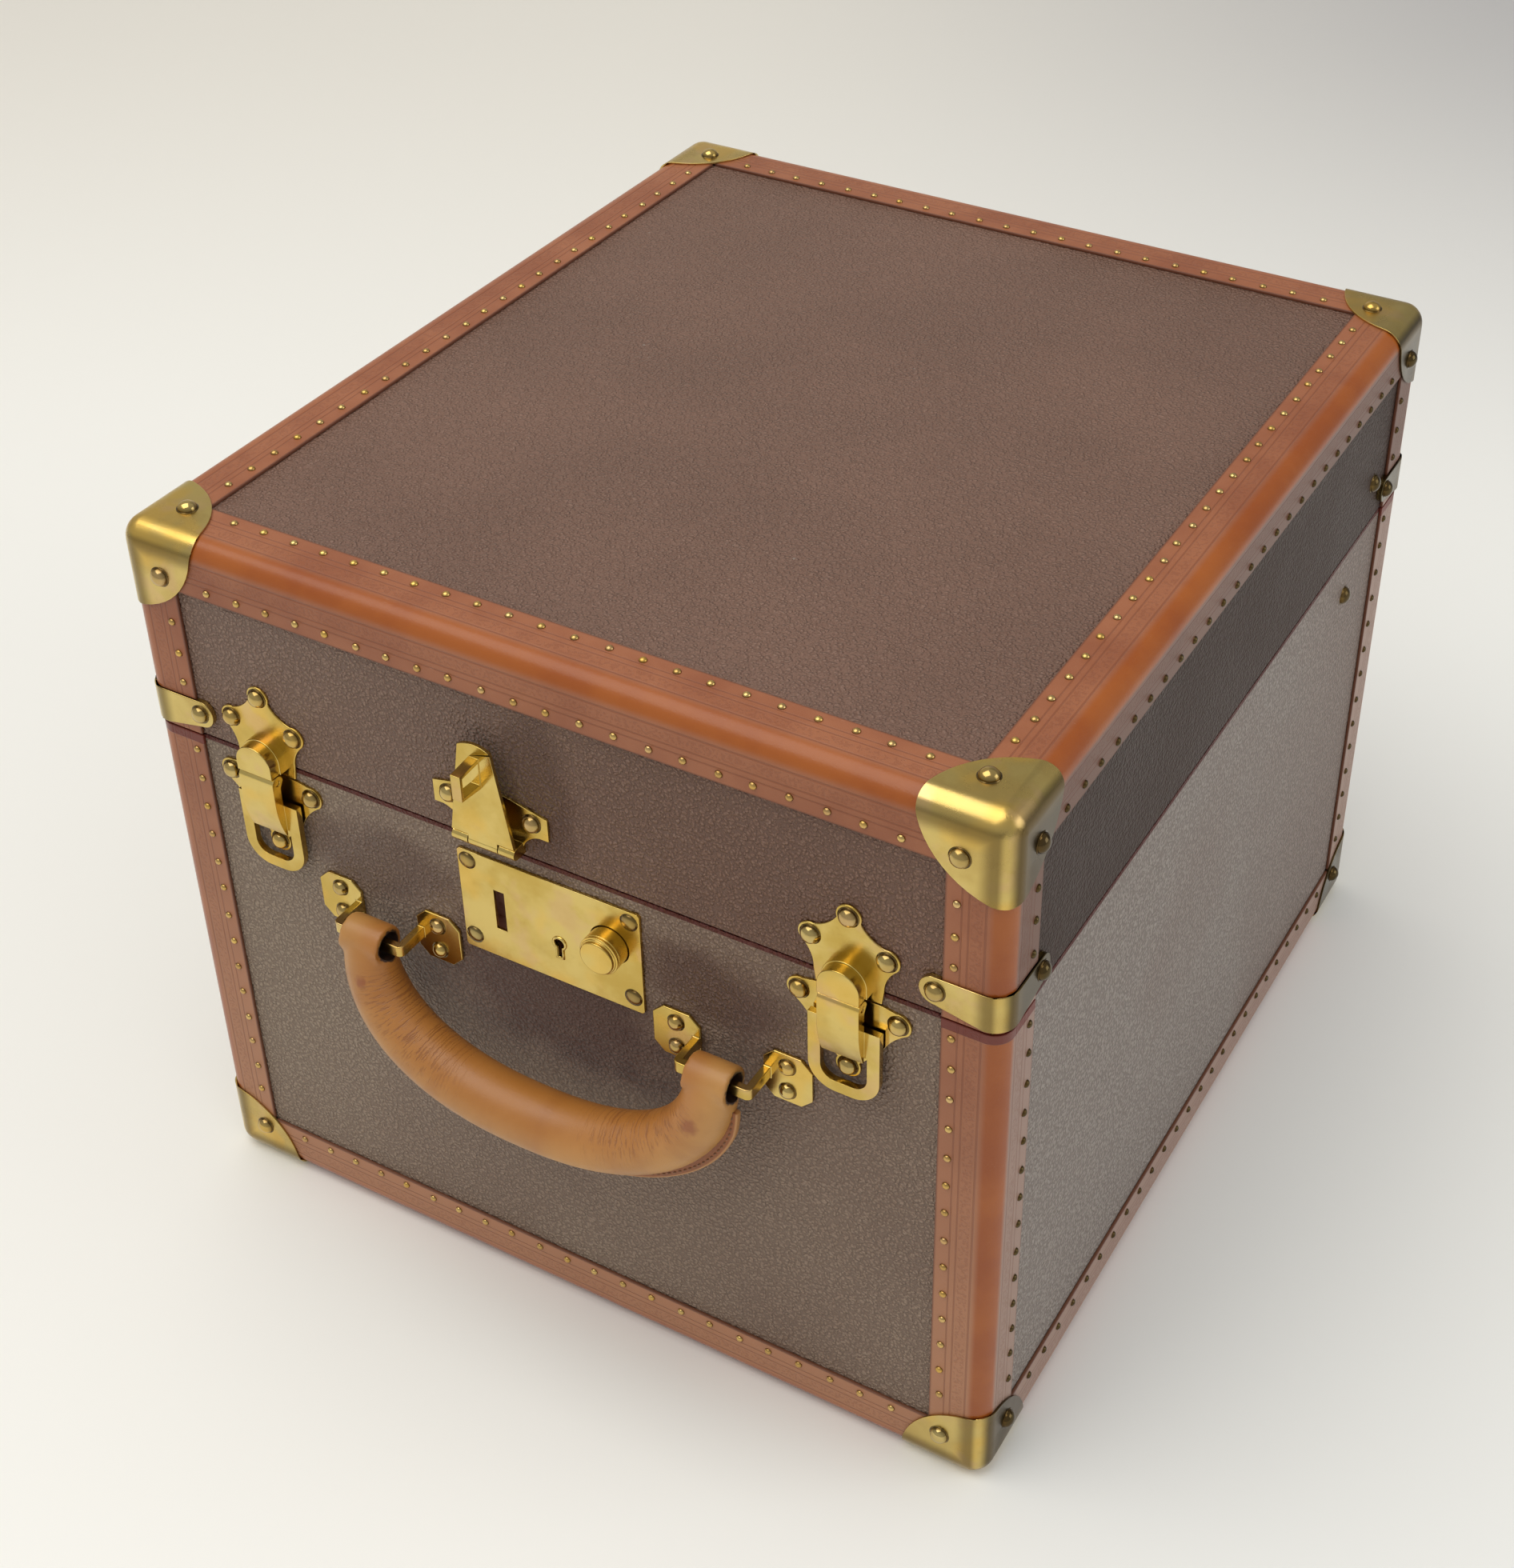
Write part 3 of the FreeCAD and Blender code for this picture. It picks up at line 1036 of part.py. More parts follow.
# Every object has to be sound before anything is written
document.recompute()
failed = [item.Name for item in document.Objects if "Invalid" in item.State or "Error" in item.State]
bad = [item.Label for item in nodes
       if item.Shape.isNull() or not item.Shape.isValid() or not item.Shape.Solids]
if failed or bad:
    raise RuntimeError(f"failed objects: {failed}; unsound shapes: {bad}")
os.makedirs("parts", exist_ok=True)
for item in nodes:
    item.Shape.exportStep(f"parts/{item.Label}.step")
overall = Part.makeCompound([item.Shape for item in nodes]).optimalBoundingBox(False)
middle = overall.Center
print(f"{len(nodes)} pieces, overall {overall.XLength:.2f} x {overall.YLength:.2f} x {overall.ZLength:.2f} mm")
print(f"middle of the box at x {middle.x:.3f}, y {middle.y:.3f}, lowest point {overall.ZMin:.3f}")
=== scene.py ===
import math
import bmesh
import bpy
import numpy
from mathutils import Matrix, Vector


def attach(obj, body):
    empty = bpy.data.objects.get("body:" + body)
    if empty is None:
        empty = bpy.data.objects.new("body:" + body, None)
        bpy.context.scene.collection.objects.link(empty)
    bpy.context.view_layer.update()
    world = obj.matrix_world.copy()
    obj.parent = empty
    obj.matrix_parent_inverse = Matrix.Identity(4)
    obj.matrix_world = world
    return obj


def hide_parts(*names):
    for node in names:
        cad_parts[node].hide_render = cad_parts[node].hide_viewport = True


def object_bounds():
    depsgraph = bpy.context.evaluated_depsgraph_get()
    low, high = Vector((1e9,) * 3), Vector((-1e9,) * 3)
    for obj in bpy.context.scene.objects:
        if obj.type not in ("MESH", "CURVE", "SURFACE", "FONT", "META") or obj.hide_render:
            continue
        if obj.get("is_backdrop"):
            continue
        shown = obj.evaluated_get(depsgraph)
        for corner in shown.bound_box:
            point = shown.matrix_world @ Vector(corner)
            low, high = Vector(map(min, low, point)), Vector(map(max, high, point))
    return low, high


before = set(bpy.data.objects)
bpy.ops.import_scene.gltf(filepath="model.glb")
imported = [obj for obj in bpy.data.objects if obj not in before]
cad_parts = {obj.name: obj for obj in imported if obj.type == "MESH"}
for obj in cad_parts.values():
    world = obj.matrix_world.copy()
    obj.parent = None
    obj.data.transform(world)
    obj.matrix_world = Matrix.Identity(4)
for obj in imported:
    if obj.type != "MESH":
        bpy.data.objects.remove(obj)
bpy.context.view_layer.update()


# Poplar boards: the case and the lid are boxes of thin planed boards, glued at their corners.
# They show only as edges at the mouth when the lid is open.
MM = 0.001


def add(tree, kind, inputs=None, **settings):
    """A node with its settings; an input is a value, or a socket to join to."""
    made = tree.nodes.new(kind)
    for name, value in settings.items():
        setattr(made, name, value)
    for key, value in (inputs or {}).items():
        if isinstance(value, bpy.types.NodeSocket):
            tree.links.new(value, made.inputs[key])
        else:
            made.inputs[key].default_value = value
    return made


def calc(tree, operation, *values):
    return add(tree, "ShaderNodeMath", dict(enumerate(values)), operation=operation).outputs[0]


def times(tree, first, second):
    return calc(tree, "MULTIPLY", first, second)


def plus(tree, first, second):
    return calc(tree, "ADD", first, second)


def minus(tree, first, second):
    return calc(tree, "SUBTRACT", first, second)


def blend(tree, factor, first, second):
    """Colour between first and second."""
    return add(tree, "ShaderNodeMix", {0: factor, 6: first, 7: second}, data_type="RGBA").outputs[2]


def step(tree, value, low, high, start=0.0, end=1.0):
    """Smooth step of a value from low to high."""
    inputs = {0: value, 1: low, 2: high, 3: start, 4: end}
    return add(tree, "ShaderNodeMapRange", inputs, interpolation_type="SMOOTHSTEP").outputs[0]


def noise(tree, vector, scale, detail=3.0, roughness=0.5):
    inputs = {"Vector": vector, "Scale": scale, "Detail": detail, "Roughness": roughness}
    return add(tree, "ShaderNodeTexNoise", inputs).outputs[0]


def stretched(tree, vector, scale):
    return add(tree, "ShaderNodeMapping", {"Vector": vector, "Scale": scale}).outputs[0]


def axes(tree, vector):
    """The three numbers of a vector."""
    return add(tree, "ShaderNodeSeparateXYZ", {0: vector}).outputs


def place_on_piece(tree):
    return add(tree, "ShaderNodeTexCoord").outputs["Object"]


def new_material(name, **values):
    """A material with plain values set on its Principled shader."""
    material = bpy.data.materials.new(name)
    material.use_nodes = True
    tree = material.node_tree
    shader = tree.nodes["Principled BSDF"]
    for socket, value in values.items():
        shader.inputs[socket.replace("_", " ").title().replace("Ior", "IOR")].default_value = value
    return material, tree, shader


def feed(tree, shader, **values):
    """Joins values that change over the surface to the shader's sockets."""
    for socket, value in values.items():
        tree.links.new(value, shader.inputs[socket.replace("_", " ").title()])


def raise_surface(tree, shader, height, strength, distance):
    bump = add(tree, "ShaderNodeBump", {"Strength": strength, "Distance": distance, "Height": height})
    feed(tree, shader, normal=bump.outputs[0])


def dress(material, *names):
    """Puts a material on CAD nodes that stay as they are."""
    for name in names:
        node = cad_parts[name]
        node.data.materials.clear()
        node.data.materials.append(material)


poplar, tree, shader = new_material("poplar")
along_grain = stretched(tree, place_on_piece(tree), (6, 6, 90))
rings = noise(tree, along_grain, 4.0, 6.0, 0.6)
feed(tree, shader, roughness=step(tree, rings, 0.2, 0.8, 0.55, 0.72),
     base_color=blend(tree, step(tree, rings, 0.35, 0.65), (0.52, 0.36, 0.2, 1), (0.68, 0.5, 0.3, 1)))
raise_surface(tree, shader, rings, 0.2, 0.0005)
dress(poplar, "base_front_board", "base_boards", "lid_boards")


# Cloth lining: a plain-woven buff cotton glued to the inside of base and lid.
# It is cut to the boards' edges, so it ends at the mouth. The weave has a thread about every 1.2 mm.
WEAVE_RADIANS_PER_METRE = 5200.0
lining, tree, shader = new_material("cotton_lining", sheen_weight=0.3, roughness=0.85)
spot = place_on_piece(tree)
threads = [calc(tree, "SINE", times(tree, axis, WEAVE_RADIANS_PER_METRE)) for axis in axes(tree, spot)]
weave = times(tree, plus(tree, plus(tree, threads[0], threads[1]), threads[2]), 0.3)
age = noise(tree, spot, 14.0, 4.0)
tone = plus(tree, step(tree, age, 0.3, 0.7, 0.0, 0.7), times(tree, weave, 0.3))
feed(tree, shader, base_color=blend(tree, tone, (0.36, 0.29, 0.2, 1), (0.52, 0.44, 0.32, 1)))
raise_surface(tree, shader, weave, 0.5, 0.0004)
dress(lining, "base_lining", "lid_lining")


# Leather covering: reddish-brown skins with a pebbled grain, drawn tight over the boards of each half.
# Hands have rubbed it dark round handle and hasp, and painted shade darkens it there too.
# The base has a dull bloom, most on its right side, which is partly painted reflection of the floor.
CASE_BACK = 14.35
LEATHER_X = 183.6
LEATHER_Y = 202.6
LEATHER_TOP = 325.5
FRONT_Y = CASE_BACK - LEATHER_Y
SEAM = 236


def new_group(name, kind, inputs, outputs):
    """A node group; inputs name a kind of socket or a first number, outputs a kind of socket."""
    group = bpy.data.node_groups.new(name, f"{kind}NodeTree")
    for label, given in inputs.items():
        socket_kind = given if isinstance(given, str) else "Float"
        socket = group.interface.new_socket(label, in_out="INPUT", socket_type=f"NodeSocket{socket_kind}")
        if socket_kind == "Float":
            socket.default_value = given
    for label, socket_kind in outputs.items():
        group.interface.new_socket(label, in_out="OUTPUT", socket_type=f"NodeSocket{socket_kind}")
    return group


def vector_calc(tree, operation, first, second):
    made = add(tree, "ShaderNodeVectorMath", {0: first, 1: second}, operation=operation)
    return made.outputs["Value" if operation in ("DISTANCE", "DOT_PRODUCT") else "Vector"]


def make_grain():
    """Rounded pebbles with fine wrinkles between them, as on pressed leather."""
    group = new_group("pebble_grain", "Shader", {"Vector": "Vector", "Scale": 0.0},
                      {"Height": "Float", "Pebble": "Float"})
    vector, scale = add(group, "NodeGroupInput").outputs[:2]
    slow = {"Vector": vector, "Scale": times(group, scale, 0.5), "Detail": 2.0}
    bend = add(group, "ShaderNodeTexNoise", slow)
    shifted = vector_calc(group, "MULTIPLY", bend.outputs["Color"], (0.0022, 0.0022, 0.0022))
    warped = vector_calc(group, "ADD", vector, shifted)
    cells = add(group, "ShaderNodeTexVoronoi", {"Vector": warped, "Scale": scale}, feature="F1")
    pebble = step(group, cells.outputs["Distance"], 0.12, 0.8, 1.0, 0.0)
    fine = noise(group, vector, times(group, scale, 1.7), 3.0, 0.6)
    height = plus(group, times(group, pebble, 0.7), times(group, fine, 0.45))
    add(group, "NodeGroupOutput", {"Height": height, "Pebble": pebble})
    return group


def make_scuffs():
    """Age on a surface: a slow mottle, small pale specks and short scratches."""
    group = new_group("scuffs", "Shader", {"Vector": "Vector", "Scale": 0.0},
                      {"Mottle": "Float", "Specks": "Float", "Scratches": "Float"})
    vector, scale = add(group, "NodeGroupInput").outputs[:2]
    mottle = noise(group, vector, scale, 5.0, 0.55)
    dots = add(group, "ShaderNodeTexVoronoi", {"Vector": vector, "Scale": times(group, scale, 9.0)})
    rare = noise(group, vector, times(group, scale, 3.1), 1.0)
    dot = step(group, dots.outputs["Distance"], 0.03, 0.06, 1.0, 0.0)
    specks = times(group, dot, step(group, rare, 0.62, 0.7))
    lines = noise(group, stretched(group, vector, (1.0, 14.0, 9.0)), times(group, scale, 5.0), 2.0)
    scratches = times(group, step(group, lines, 0.72, 0.76), step(group, rare, 0.5, 0.6))
    add(group, "NodeGroupOutput", {"Mottle": mottle, "Specks": specks, "Scratches": scratches})
    return group


def mottled(tree, age, first, second):
    """Between two colours by the slow mottle of the scuffs."""
    return blend(tree, step(tree, age["Mottle"], 0.3, 0.7), first, second)


def use_group(tree, group, **values):
    return add(tree, "ShaderNodeGroup", values, node_tree=group).outputs


pebble_grain = make_grain()
scuffs = make_scuffs()
covering, tree, shader = new_material("covering_leather", specular_ior_level=0.3)
spot = place_on_piece(tree)
across, deep, up = axes(tree, spot)
grain = use_group(tree, pebble_grain, Vector=spot, Scale=660.0)
age = use_group(tree, scuffs, Vector=spot, Scale=9.0)
ragged = times(tree, minus(tree, noise(tree, spot, 38.0, 4.0), 0.5), 2.4)


def wear_and_shade_patch(middle, reach):
    """One inside an oval on the front, fading at a ragged edge; middle and reach are across and up."""
    from_middle = ragged
    for value, centre, radius in zip((across, up), middle, reach):
        away = calc(tree, "DIVIDE", minus(tree, value, centre * MM), radius * MM)
        from_middle = plus(tree, from_middle, times(tree, away, away))
    return step(tree, from_middle, 0.1, 1.9, 1.0, 0.0)


# Darker patches round handle, hasp and latches: wear from hands and painted shade together.
rubbed_and_shaded = wear_and_shade_patch((0, 170), (62, 34))
for middle, reach in (((-2, 264), (15, 34)), ((66, 204), (34, 18)), ((-80, 205), (36, 18))):
    rubbed_and_shaded = calc(tree, "MAXIMUM", rubbed_and_shaded, times(tree, wear_and_shade_patch(middle, reach), 0.8))
on_front = step(tree, deep, FRONT_Y * MM, (FRONT_Y + 0.6) * MM, 1.0, 0.0)
rubbed_and_shaded = times(tree, rubbed_and_shaded, on_front)
on_right = step(tree, across, (LEATHER_X - 0.6) * MM, LEATHER_X * MM)
on_base = step(tree, up, (SEAM - 0.4) * MM, (SEAM + 0.4) * MM, 1.0, 0.0)
on_top = step(tree, up, (LEATHER_TOP - 0.7) * MM, LEATHER_TOP * MM)
on_right_lid = times(tree, on_right, minus(tree, 1.0, on_base))
# The base's pale bloom is partly a dull bloom and partly painted reflection of the floor, strongest on the
# right face.
cloudy = step(tree, age["Mottle"], 0.3, 0.7, 0.75, 1.25)
right_more = times(tree, on_right, step(tree, deep, 0.0, 0.2, 0.46, 0.14))
left_more = times(tree, on_front, step(tree, across, -0.16, 0.12, 0.2, 0.0))
bloom_and_painted_reflection = plus(tree, 0.52, plus(tree, right_more, left_more))
bloom_and_painted_reflection = times(tree, bloom_and_painted_reflection, cloudy)
bloom_and_painted_reflection = times(tree, times(tree, bloom_and_painted_reflection, on_base), minus(tree, 1.0, rubbed_and_shaded))
brown = blend(tree, step(tree, age["Mottle"], 0.32, 0.68), (0.196, 0.106, 0.072, 1), (0.232, 0.128, 0.088, 1))
# Painted shade: the lid's right face is painted much darker.
brown = blend(tree, times(tree, on_right_lid, 0.92), brown, (0.034, 0.017, 0.01, 1))
# Painted shade and wear: the patches are painted dark brown.
brown = blend(tree, rubbed_and_shaded, brown, (0.085, 0.034, 0.024, 1))
dull_with_painted_reflection = blend(tree, on_right, (0.36, 0.275, 0.198, 1), (0.37, 0.314, 0.272, 1))
# Painted light: the front is painted paler toward its left end, on top of the bloom.
brown = blend(tree, times(tree, left_more, 1.3), brown, (0.4, 0.3, 0.23, 1))
brown = blend(tree, bloom_and_painted_reflection, brown, dull_with_painted_reflection)
# Painted shade in the grain's crevices, strongest on the lid's right face and weakest on the top.
crevice_shade_strength = minus(tree, plus(tree, 0.42, times(tree, on_right_lid, 0.3)), times(tree, on_top, 0.24))
painted_crevice_shade = step(tree, grain["Pebble"], 0.05, 0.8, 1.0, 0.0)
brown = blend(tree, times(tree, painted_crevice_shade, crevice_shade_strength), brown, (0.045, 0.02, 0.014, 1))
# Painted highlights: the tops of the pebbles are painted paler.
painted_glint = times(tree, step(tree, grain["Pebble"], 0.78, 1.0),
              step(tree, on_right_lid, 0.0, 1.0, 0.06, 0.03))
brown = blend(tree, painted_glint, brown, (0.5, 0.42, 0.37, 1))
brown = blend(tree, times(tree, age["Specks"], 0.5), brown, (0.42, 0.36, 0.31, 1))
brown = blend(tree, times(tree, age["Scratches"], 0.22), brown, (0.3, 0.22, 0.18, 1))
rim = times(tree, step(tree, up, (SEAM - 2.4) * MM, (SEAM - 2.0) * MM), on_base)
brown = blend(tree, rim, brown, (0.1, 0.02, 0.014, 1))
gloss = step(tree, age["Mottle"], 0.3, 0.7, 0.34, 0.44)
gloss = plus(tree, gloss, times(tree, calc(tree, "MAXIMUM", bloom_and_painted_reflection, on_right_lid), 0.14))
feed(tree, shader, base_color=brown, roughness=minus(tree, gloss, times(tree, rubbed_and_shaded, 0.1)))
raise_surface(tree, shader, grain["Height"], 1.0, 0.0012)
dress(covering, "base_covering", "lid_covering")


# Closing lip: poplar strips covered in dark-red leather, glued inside the mouth on three sides.
# The lid shuts over them, which keeps the halves in line and the dust out.
lip_leather, tree, shader = new_material("lip_leather")
spot = place_on_piece(tree)
grain = use_group(tree, pebble_grain, Vector=spot, Scale=900.0)
age = use_group(tree, scuffs, Vector=spot, Scale=16.0)
feed(tree, shader, roughness=step(tree, age["Mottle"], 0.3, 0.7, 0.38, 0.55),
     base_color=mottled(tree, age, (0.09, 0.018, 0.014, 1), (0.14, 0.03, 0.022, 1)))
raise_surface(tree, shader, grain["Height"], 0.35, 0.0003)
dress(lip_leather, "mouth_lip")


# Edge strips: angles of lacquered hide, reddish tan, moulded round the edges of the case and tacked on.
# Tooled lines run along each leg, and the rounded edge is rubbed to a glossy orange brown.
half_x, half_y = 185, 204
foot_z, top_z = 1, 327
STRIP_BEVEL = 0.35 * MM
TOOLED_LINES = ((8.8, 0.55), (15.0, 0.45), (17.6, 0.4))


def make_edge_distance():
    """How far a point on a face of the case lies from the nearest edge of that face."""
    group = new_group("edge_distance", "Shader", {"Vector": "Vector"}, {"Distance": "Float"})
    x, y, z = axes(group, add(group, "NodeGroupInput").outputs[0])
    from_side = minus(group, half_x * MM, calc(group, "ABSOLUTE", x))
    from_end = minus(group, half_y * MM, calc(group, "ABSOLUTE", minus(group, y, CASE_BACK * MM)))
    from_flat = calc(group, "MINIMUM", minus(group, z, foot_z * MM), minus(group, top_z * MM, z))
    least = calc(group, "MINIMUM", from_side, from_end)
    most = calc(group, "MAXIMUM", from_side, from_end)
    middle = calc(group, "MAXIMUM", least, calc(group, "MINIMUM", most, from_flat))
    add(group, "NodeGroupOutput", {"Distance": middle})
    return group


def as_object(made, name):
    """A new object from points and faces made here, with its faces turned outward."""
    bmesh.ops.recalc_face_normals(made, faces=made.faces)
    mesh = bpy.data.meshes.new(name)
    made.to_mesh(mesh)
    made.free()
    result = bpy.data.objects.new(name, mesh)
    bpy.context.scene.collection.objects.link(result)
    return result


def softened(made, name, bevel, angle=40.0, segments=2):
    """A smooth piece from points and faces, with a small bevel on its sharp edges and its flats kept flat."""
    rough = as_object(made, f"{name}_raw")
    rough.data.shade_smooth()
    edge = rough.modifiers.new("edge", "BEVEL")
    edge.width = bevel
    edge.segments = segments
    edge.limit_method = "ANGLE"
    edge.angle_limit = math.radians(angle)
    even = rough.modifiers.new("even", "WEIGHTED_NORMAL")
    even.mode = "FACE_AREA"
    even.weight = 100
    return settle(rough, name)


def merged_copy(name):
    """A copy of a CAD node's mesh with its triangles joined up."""
    made = bmesh.new()
    made.from_mesh(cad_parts[name].data)
    bmesh.ops.remove_doubles(made, verts=made.verts, dist=2e-6)
    bmesh.ops.dissolve_degenerate(made, edges=made.edges, dist=4e-6)
    bmesh.ops.dissolve_limit(made, angle_limit=math.radians(0.6), verts=made.verts, edges=made.edges)
    return made


def remade(name, bevel, segments=2):
    """A copy of a CAD node with its sharp edges softened."""
    return softened(merged_copy(name), f"{name}_shown", bevel, segments=segments)


def settle(rough, name):
    """The object with its modifiers, as one plain mesh at the origin."""
    graph = bpy.context.evaluated_depsgraph_get()
    mesh = bpy.data.meshes.new_from_object(rough.evaluated_get(graph), preserve_all_data_layers=True,
                                           depsgraph=graph)
    bpy.data.objects.remove(rough)
    piece = bpy.data.objects.new(name, mesh)
    bpy.context.scene.collection.objects.link(piece)
    return piece


def seat(piece, body, slot, material, *nodes):
    """Gives a finished piece its material and body, and hides the nodes that it stands for; slot is not used.
    """
    if material:
        piece.data.materials.clear()
        piece.data.materials.append(material)
    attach(piece, body)
    if nodes:
        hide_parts(*nodes)


def reseat(name, body, slot, material, bevel, segments=2):
    """Puts a softened copy of a CAD node in the node's place."""
    seat(remade(name, bevel, segments), body, slot, material, name)


def rule_line(tree, distance, middle, half):
    """One along a line at that distance from the edge, fading to nothing."""
    away = calc(tree, "ABSOLUTE", minus(tree, distance, middle * MM))
    return step(tree, away, half * 0.35 * MM, half * MM, 1.0, 0.0)


edge_distance = make_edge_distance()
strip_hide, tree, shader = new_material("strip_hide", coat_roughness=0.16, specular_ior_level=0.35)
spot = place_on_piece(tree)
across, deep, up = axes(tree, spot)
distance = use_group(tree, edge_distance, Vector=spot)["Distance"]
age = use_group(tree, scuffs, Vector=spot, Scale=30.0)
grain = use_group(tree, pebble_grain, Vector=spot, Scale=1500.0)
leg = mottled(tree, age, (0.27, 0.084, 0.034, 1), (0.345, 0.122, 0.052, 1))
leg = blend(tree, step(tree, up, 40 * MM, 280 * MM, 0.75, 0.0), leg, (0.43, 0.205, 0.105, 1))
# On the right-hand faces the legs are painted paler on the base, as dust and painted reflection of the floor,
# and darker on the lid, as painted shade.
dust_and_painted_light = blend(tree, step(tree, up, (SEAM - 1) * MM, (SEAM + 30) * MM),
              (0.31, 0.215, 0.175, 1), (0.095, 0.05, 0.036, 1))
leg = blend(tree, step(tree, across, (half_x - 0.35) * MM, (half_x - 0.05) * MM, 0.0, 0.75), leg, dust_and_painted_light)
worn = mottled(tree, age, (0.285, 0.064, 0.008, 1), (0.355, 0.094, 0.013, 1))
hide = blend(tree, step(tree, distance, 5.5 * MM, 8.5 * MM, 1.0, 0.0), leg, worn)
tooled, *other_lines = [rule_line(tree, distance, middle, half) for middle, half in TOOLED_LINES]
for line in other_lines:
    tooled = calc(tree, "MAXIMUM", tooled, line)
pressed = times(tree, step(tree, distance, 9.6 * MM, 10.2 * MM),
                step(tree, distance, 13.8 * MM, 14.4 * MM, 1.0, 0.0))
pressed = times(tree, pressed, step(tree, noise(tree, spot, 760.0, 2.0), 0.48, 0.58))
hide = blend(tree, times(tree, calc(tree, "MAXIMUM", tooled, times(tree, pressed, 0.55)), 0.42),
             hide, (0.16, 0.04, 0.016, 1))
# Painted shade: a dark line along the inner edge of each leg, where it meets the leather.
hide = blend(tree, step(tree, distance, 22.8 * MM, 23.9 * MM, 0.0, 0.85), hide, (0.12, 0.04, 0.02, 1))
hide = blend(tree, times(tree, age["Scratches"], 0.3), hide, (0.5, 0.3, 0.2, 1))
turned_over = times(tree, step(tree, up, (SEAM - 4.6) * MM, (SEAM - 4.2) * MM),
                    step(tree, up, (SEAM - 0.2) * MM, (SEAM + 0.2) * MM, 1.0, 0.0))
hide = blend(tree, turned_over, hide, (0.15, 0.026, 0.014, 1))
feed(tree, shader, base_color=hide, roughness=step(tree, distance, 6 * MM, 10 * MM, 0.3, 0.42),
     coat_weight=step(tree, distance, 6 * MM, 9 * MM, 0.1, 0.02))
relief = minus(tree, times(tree, grain["Height"], 0.12), times(tree, tooled, 0.7))
relief = minus(tree, relief, times(tree, pressed, 0.35))
raise_surface(tree, shader, plus(tree, relief, turned_over), 0.6, 0.0004)
for side in ("front", "back", "left", "right"):
    reseat(f"bottom_strip_{side}", "base", "binding", strip_hide, STRIP_BEVEL)
    reseat(f"lid_strip_{side}", "lid", "binding", strip_hide, STRIP_BEVEL)
for corner in ("front_left", "front_right", "back_left", "back_right"):
    reseat(f"base_post_{corner}", "base", "binding", strip_hide, STRIP_BEVEL)
reseat("lid_posts", "lid", "binding", strip_hide, STRIP_BEVEL)


# Brass tacks: small round heads in a row along the inner side of every leg, about 13 mm apart.
# They hold the strips to the boards through the leather.
TACK_PITCH = 13.3 * MM
TACK_IN, TACK_SUNK = 19.6, 0.4
CAP_CLEAR, STRAP_CLEAR = 40, 24


def make_brass(name, polished, aged, sheen_low, sheen_high, spots=0.12, painted_rim_shade=0.0, painted_bend_reflection=0.0):
    """Brass with patches of older colour, polishing marks, tarnish, and painted dark reflection on its right
    side.

    The last two arguments paint shade at the foot of domed heads, and a dark reflection on the flats next to
    the case's rounded edges.
    """
    brass, tree, shader = new_material(name, metallic=1.0)
    spot = place_on_piece(tree)
    age = use_group(tree, scuffs, Vector=spot, Scale=38.0)
    fine = noise(tree, stretched(tree, spot, (1.0, 1.0, 7.0)), 900.0, 2.0)
    colour = blend(tree, step(tree, age["Mottle"], 0.36, 0.62), polished, aged)
    warm = step(tree, noise(tree, spot, 42.0, 2.0, 0.5), 0.5, 0.66, 0.0, 0.45)
    colour = blend(tree, warm, colour, (0.76, 0.46, 0.075, 1))
    elsewhere = vector_calc(tree, "ADD", spot, (0.31, 0.17, 0.23))
    rosy = step(tree, noise(tree, elsewhere, 55.0, 3.0, 0.55), 0.52, 0.66, 0.0, 0.45)
    colour = blend(tree, rosy, colour, (0.64, 0.42, 0.22, 1))
    tarnish = step(tree, noise(tree, spot, 120.0, 4.0, 0.6), 0.58, 0.72, 0.0, spots)
    colour = blend(tree, tarnish, colour, (0.26, 0.15, 0.05, 1))
    right, _, up = axes(tree, spot)
    # Painted dark reflection: right-hand faces are painted near black brown.
    dull_with_painted_reflection = step(tree, right, (half_x - 2.5) * MM, (half_x + 0.7) * MM, 0.0, 0.93)
    colour = blend(tree, dull_with_painted_reflection, colour, (0.05, 0.034, 0.016, 1))
    # Painted shade: domed heads are painted darker toward their foot.
    if painted_rim_shade:
        rim = add(tree, "ShaderNodeAttribute", attribute_name="rim").outputs["Fac"]
        colour = blend(tree, times(tree, rim, painted_rim_shade), colour, (0.1, 0.06, 0.02, 1))
    # Painted dark reflection in bands on the flats beside the rounded edges, but not on the top face.
    if painted_bend_reflection:
        distance = use_group(tree, edge_distance, Vector=spot)["Distance"]
        band = times(tree, step(tree, distance, 3.0 * MM, 5.6 * MM),
                     step(tree, distance, 7.0 * MM, 13.0 * MM, painted_bend_reflection, 0.0))
        band = times(tree, band, step(tree, up, (top_z - 2.5) * MM, (top_z - 0.2) * MM, 1.0, 0.0))
        colour = blend(tree, band, colour, (0.15, 0.1, 0.035, 1))
    gloss = plus(tree, step(tree, age["Mottle"], 0.3, 0.7, sheen_low, sheen_high), times(tree, fine, 0.06))
    gloss = plus(tree, gloss, times(tree, plus(tree, tarnish, warm), 0.15))
    feed(tree, shader, base_color=colour, roughness=gloss)
    marks = plus(tree, times(tree, fine, 0.3), times(tree, age["Mottle"], 0.7))
    raise_surface(tree, shader, marks, 0.14, 0.0004)
    return brass


def carried(tree, name, kind="FLOAT_VECTOR"):
    """What the points of a carrier have stored under a name."""
    return add(tree, "GeometryNodeInputNamedAttribute", {"Name": name}, data_type=kind).outputs[0]


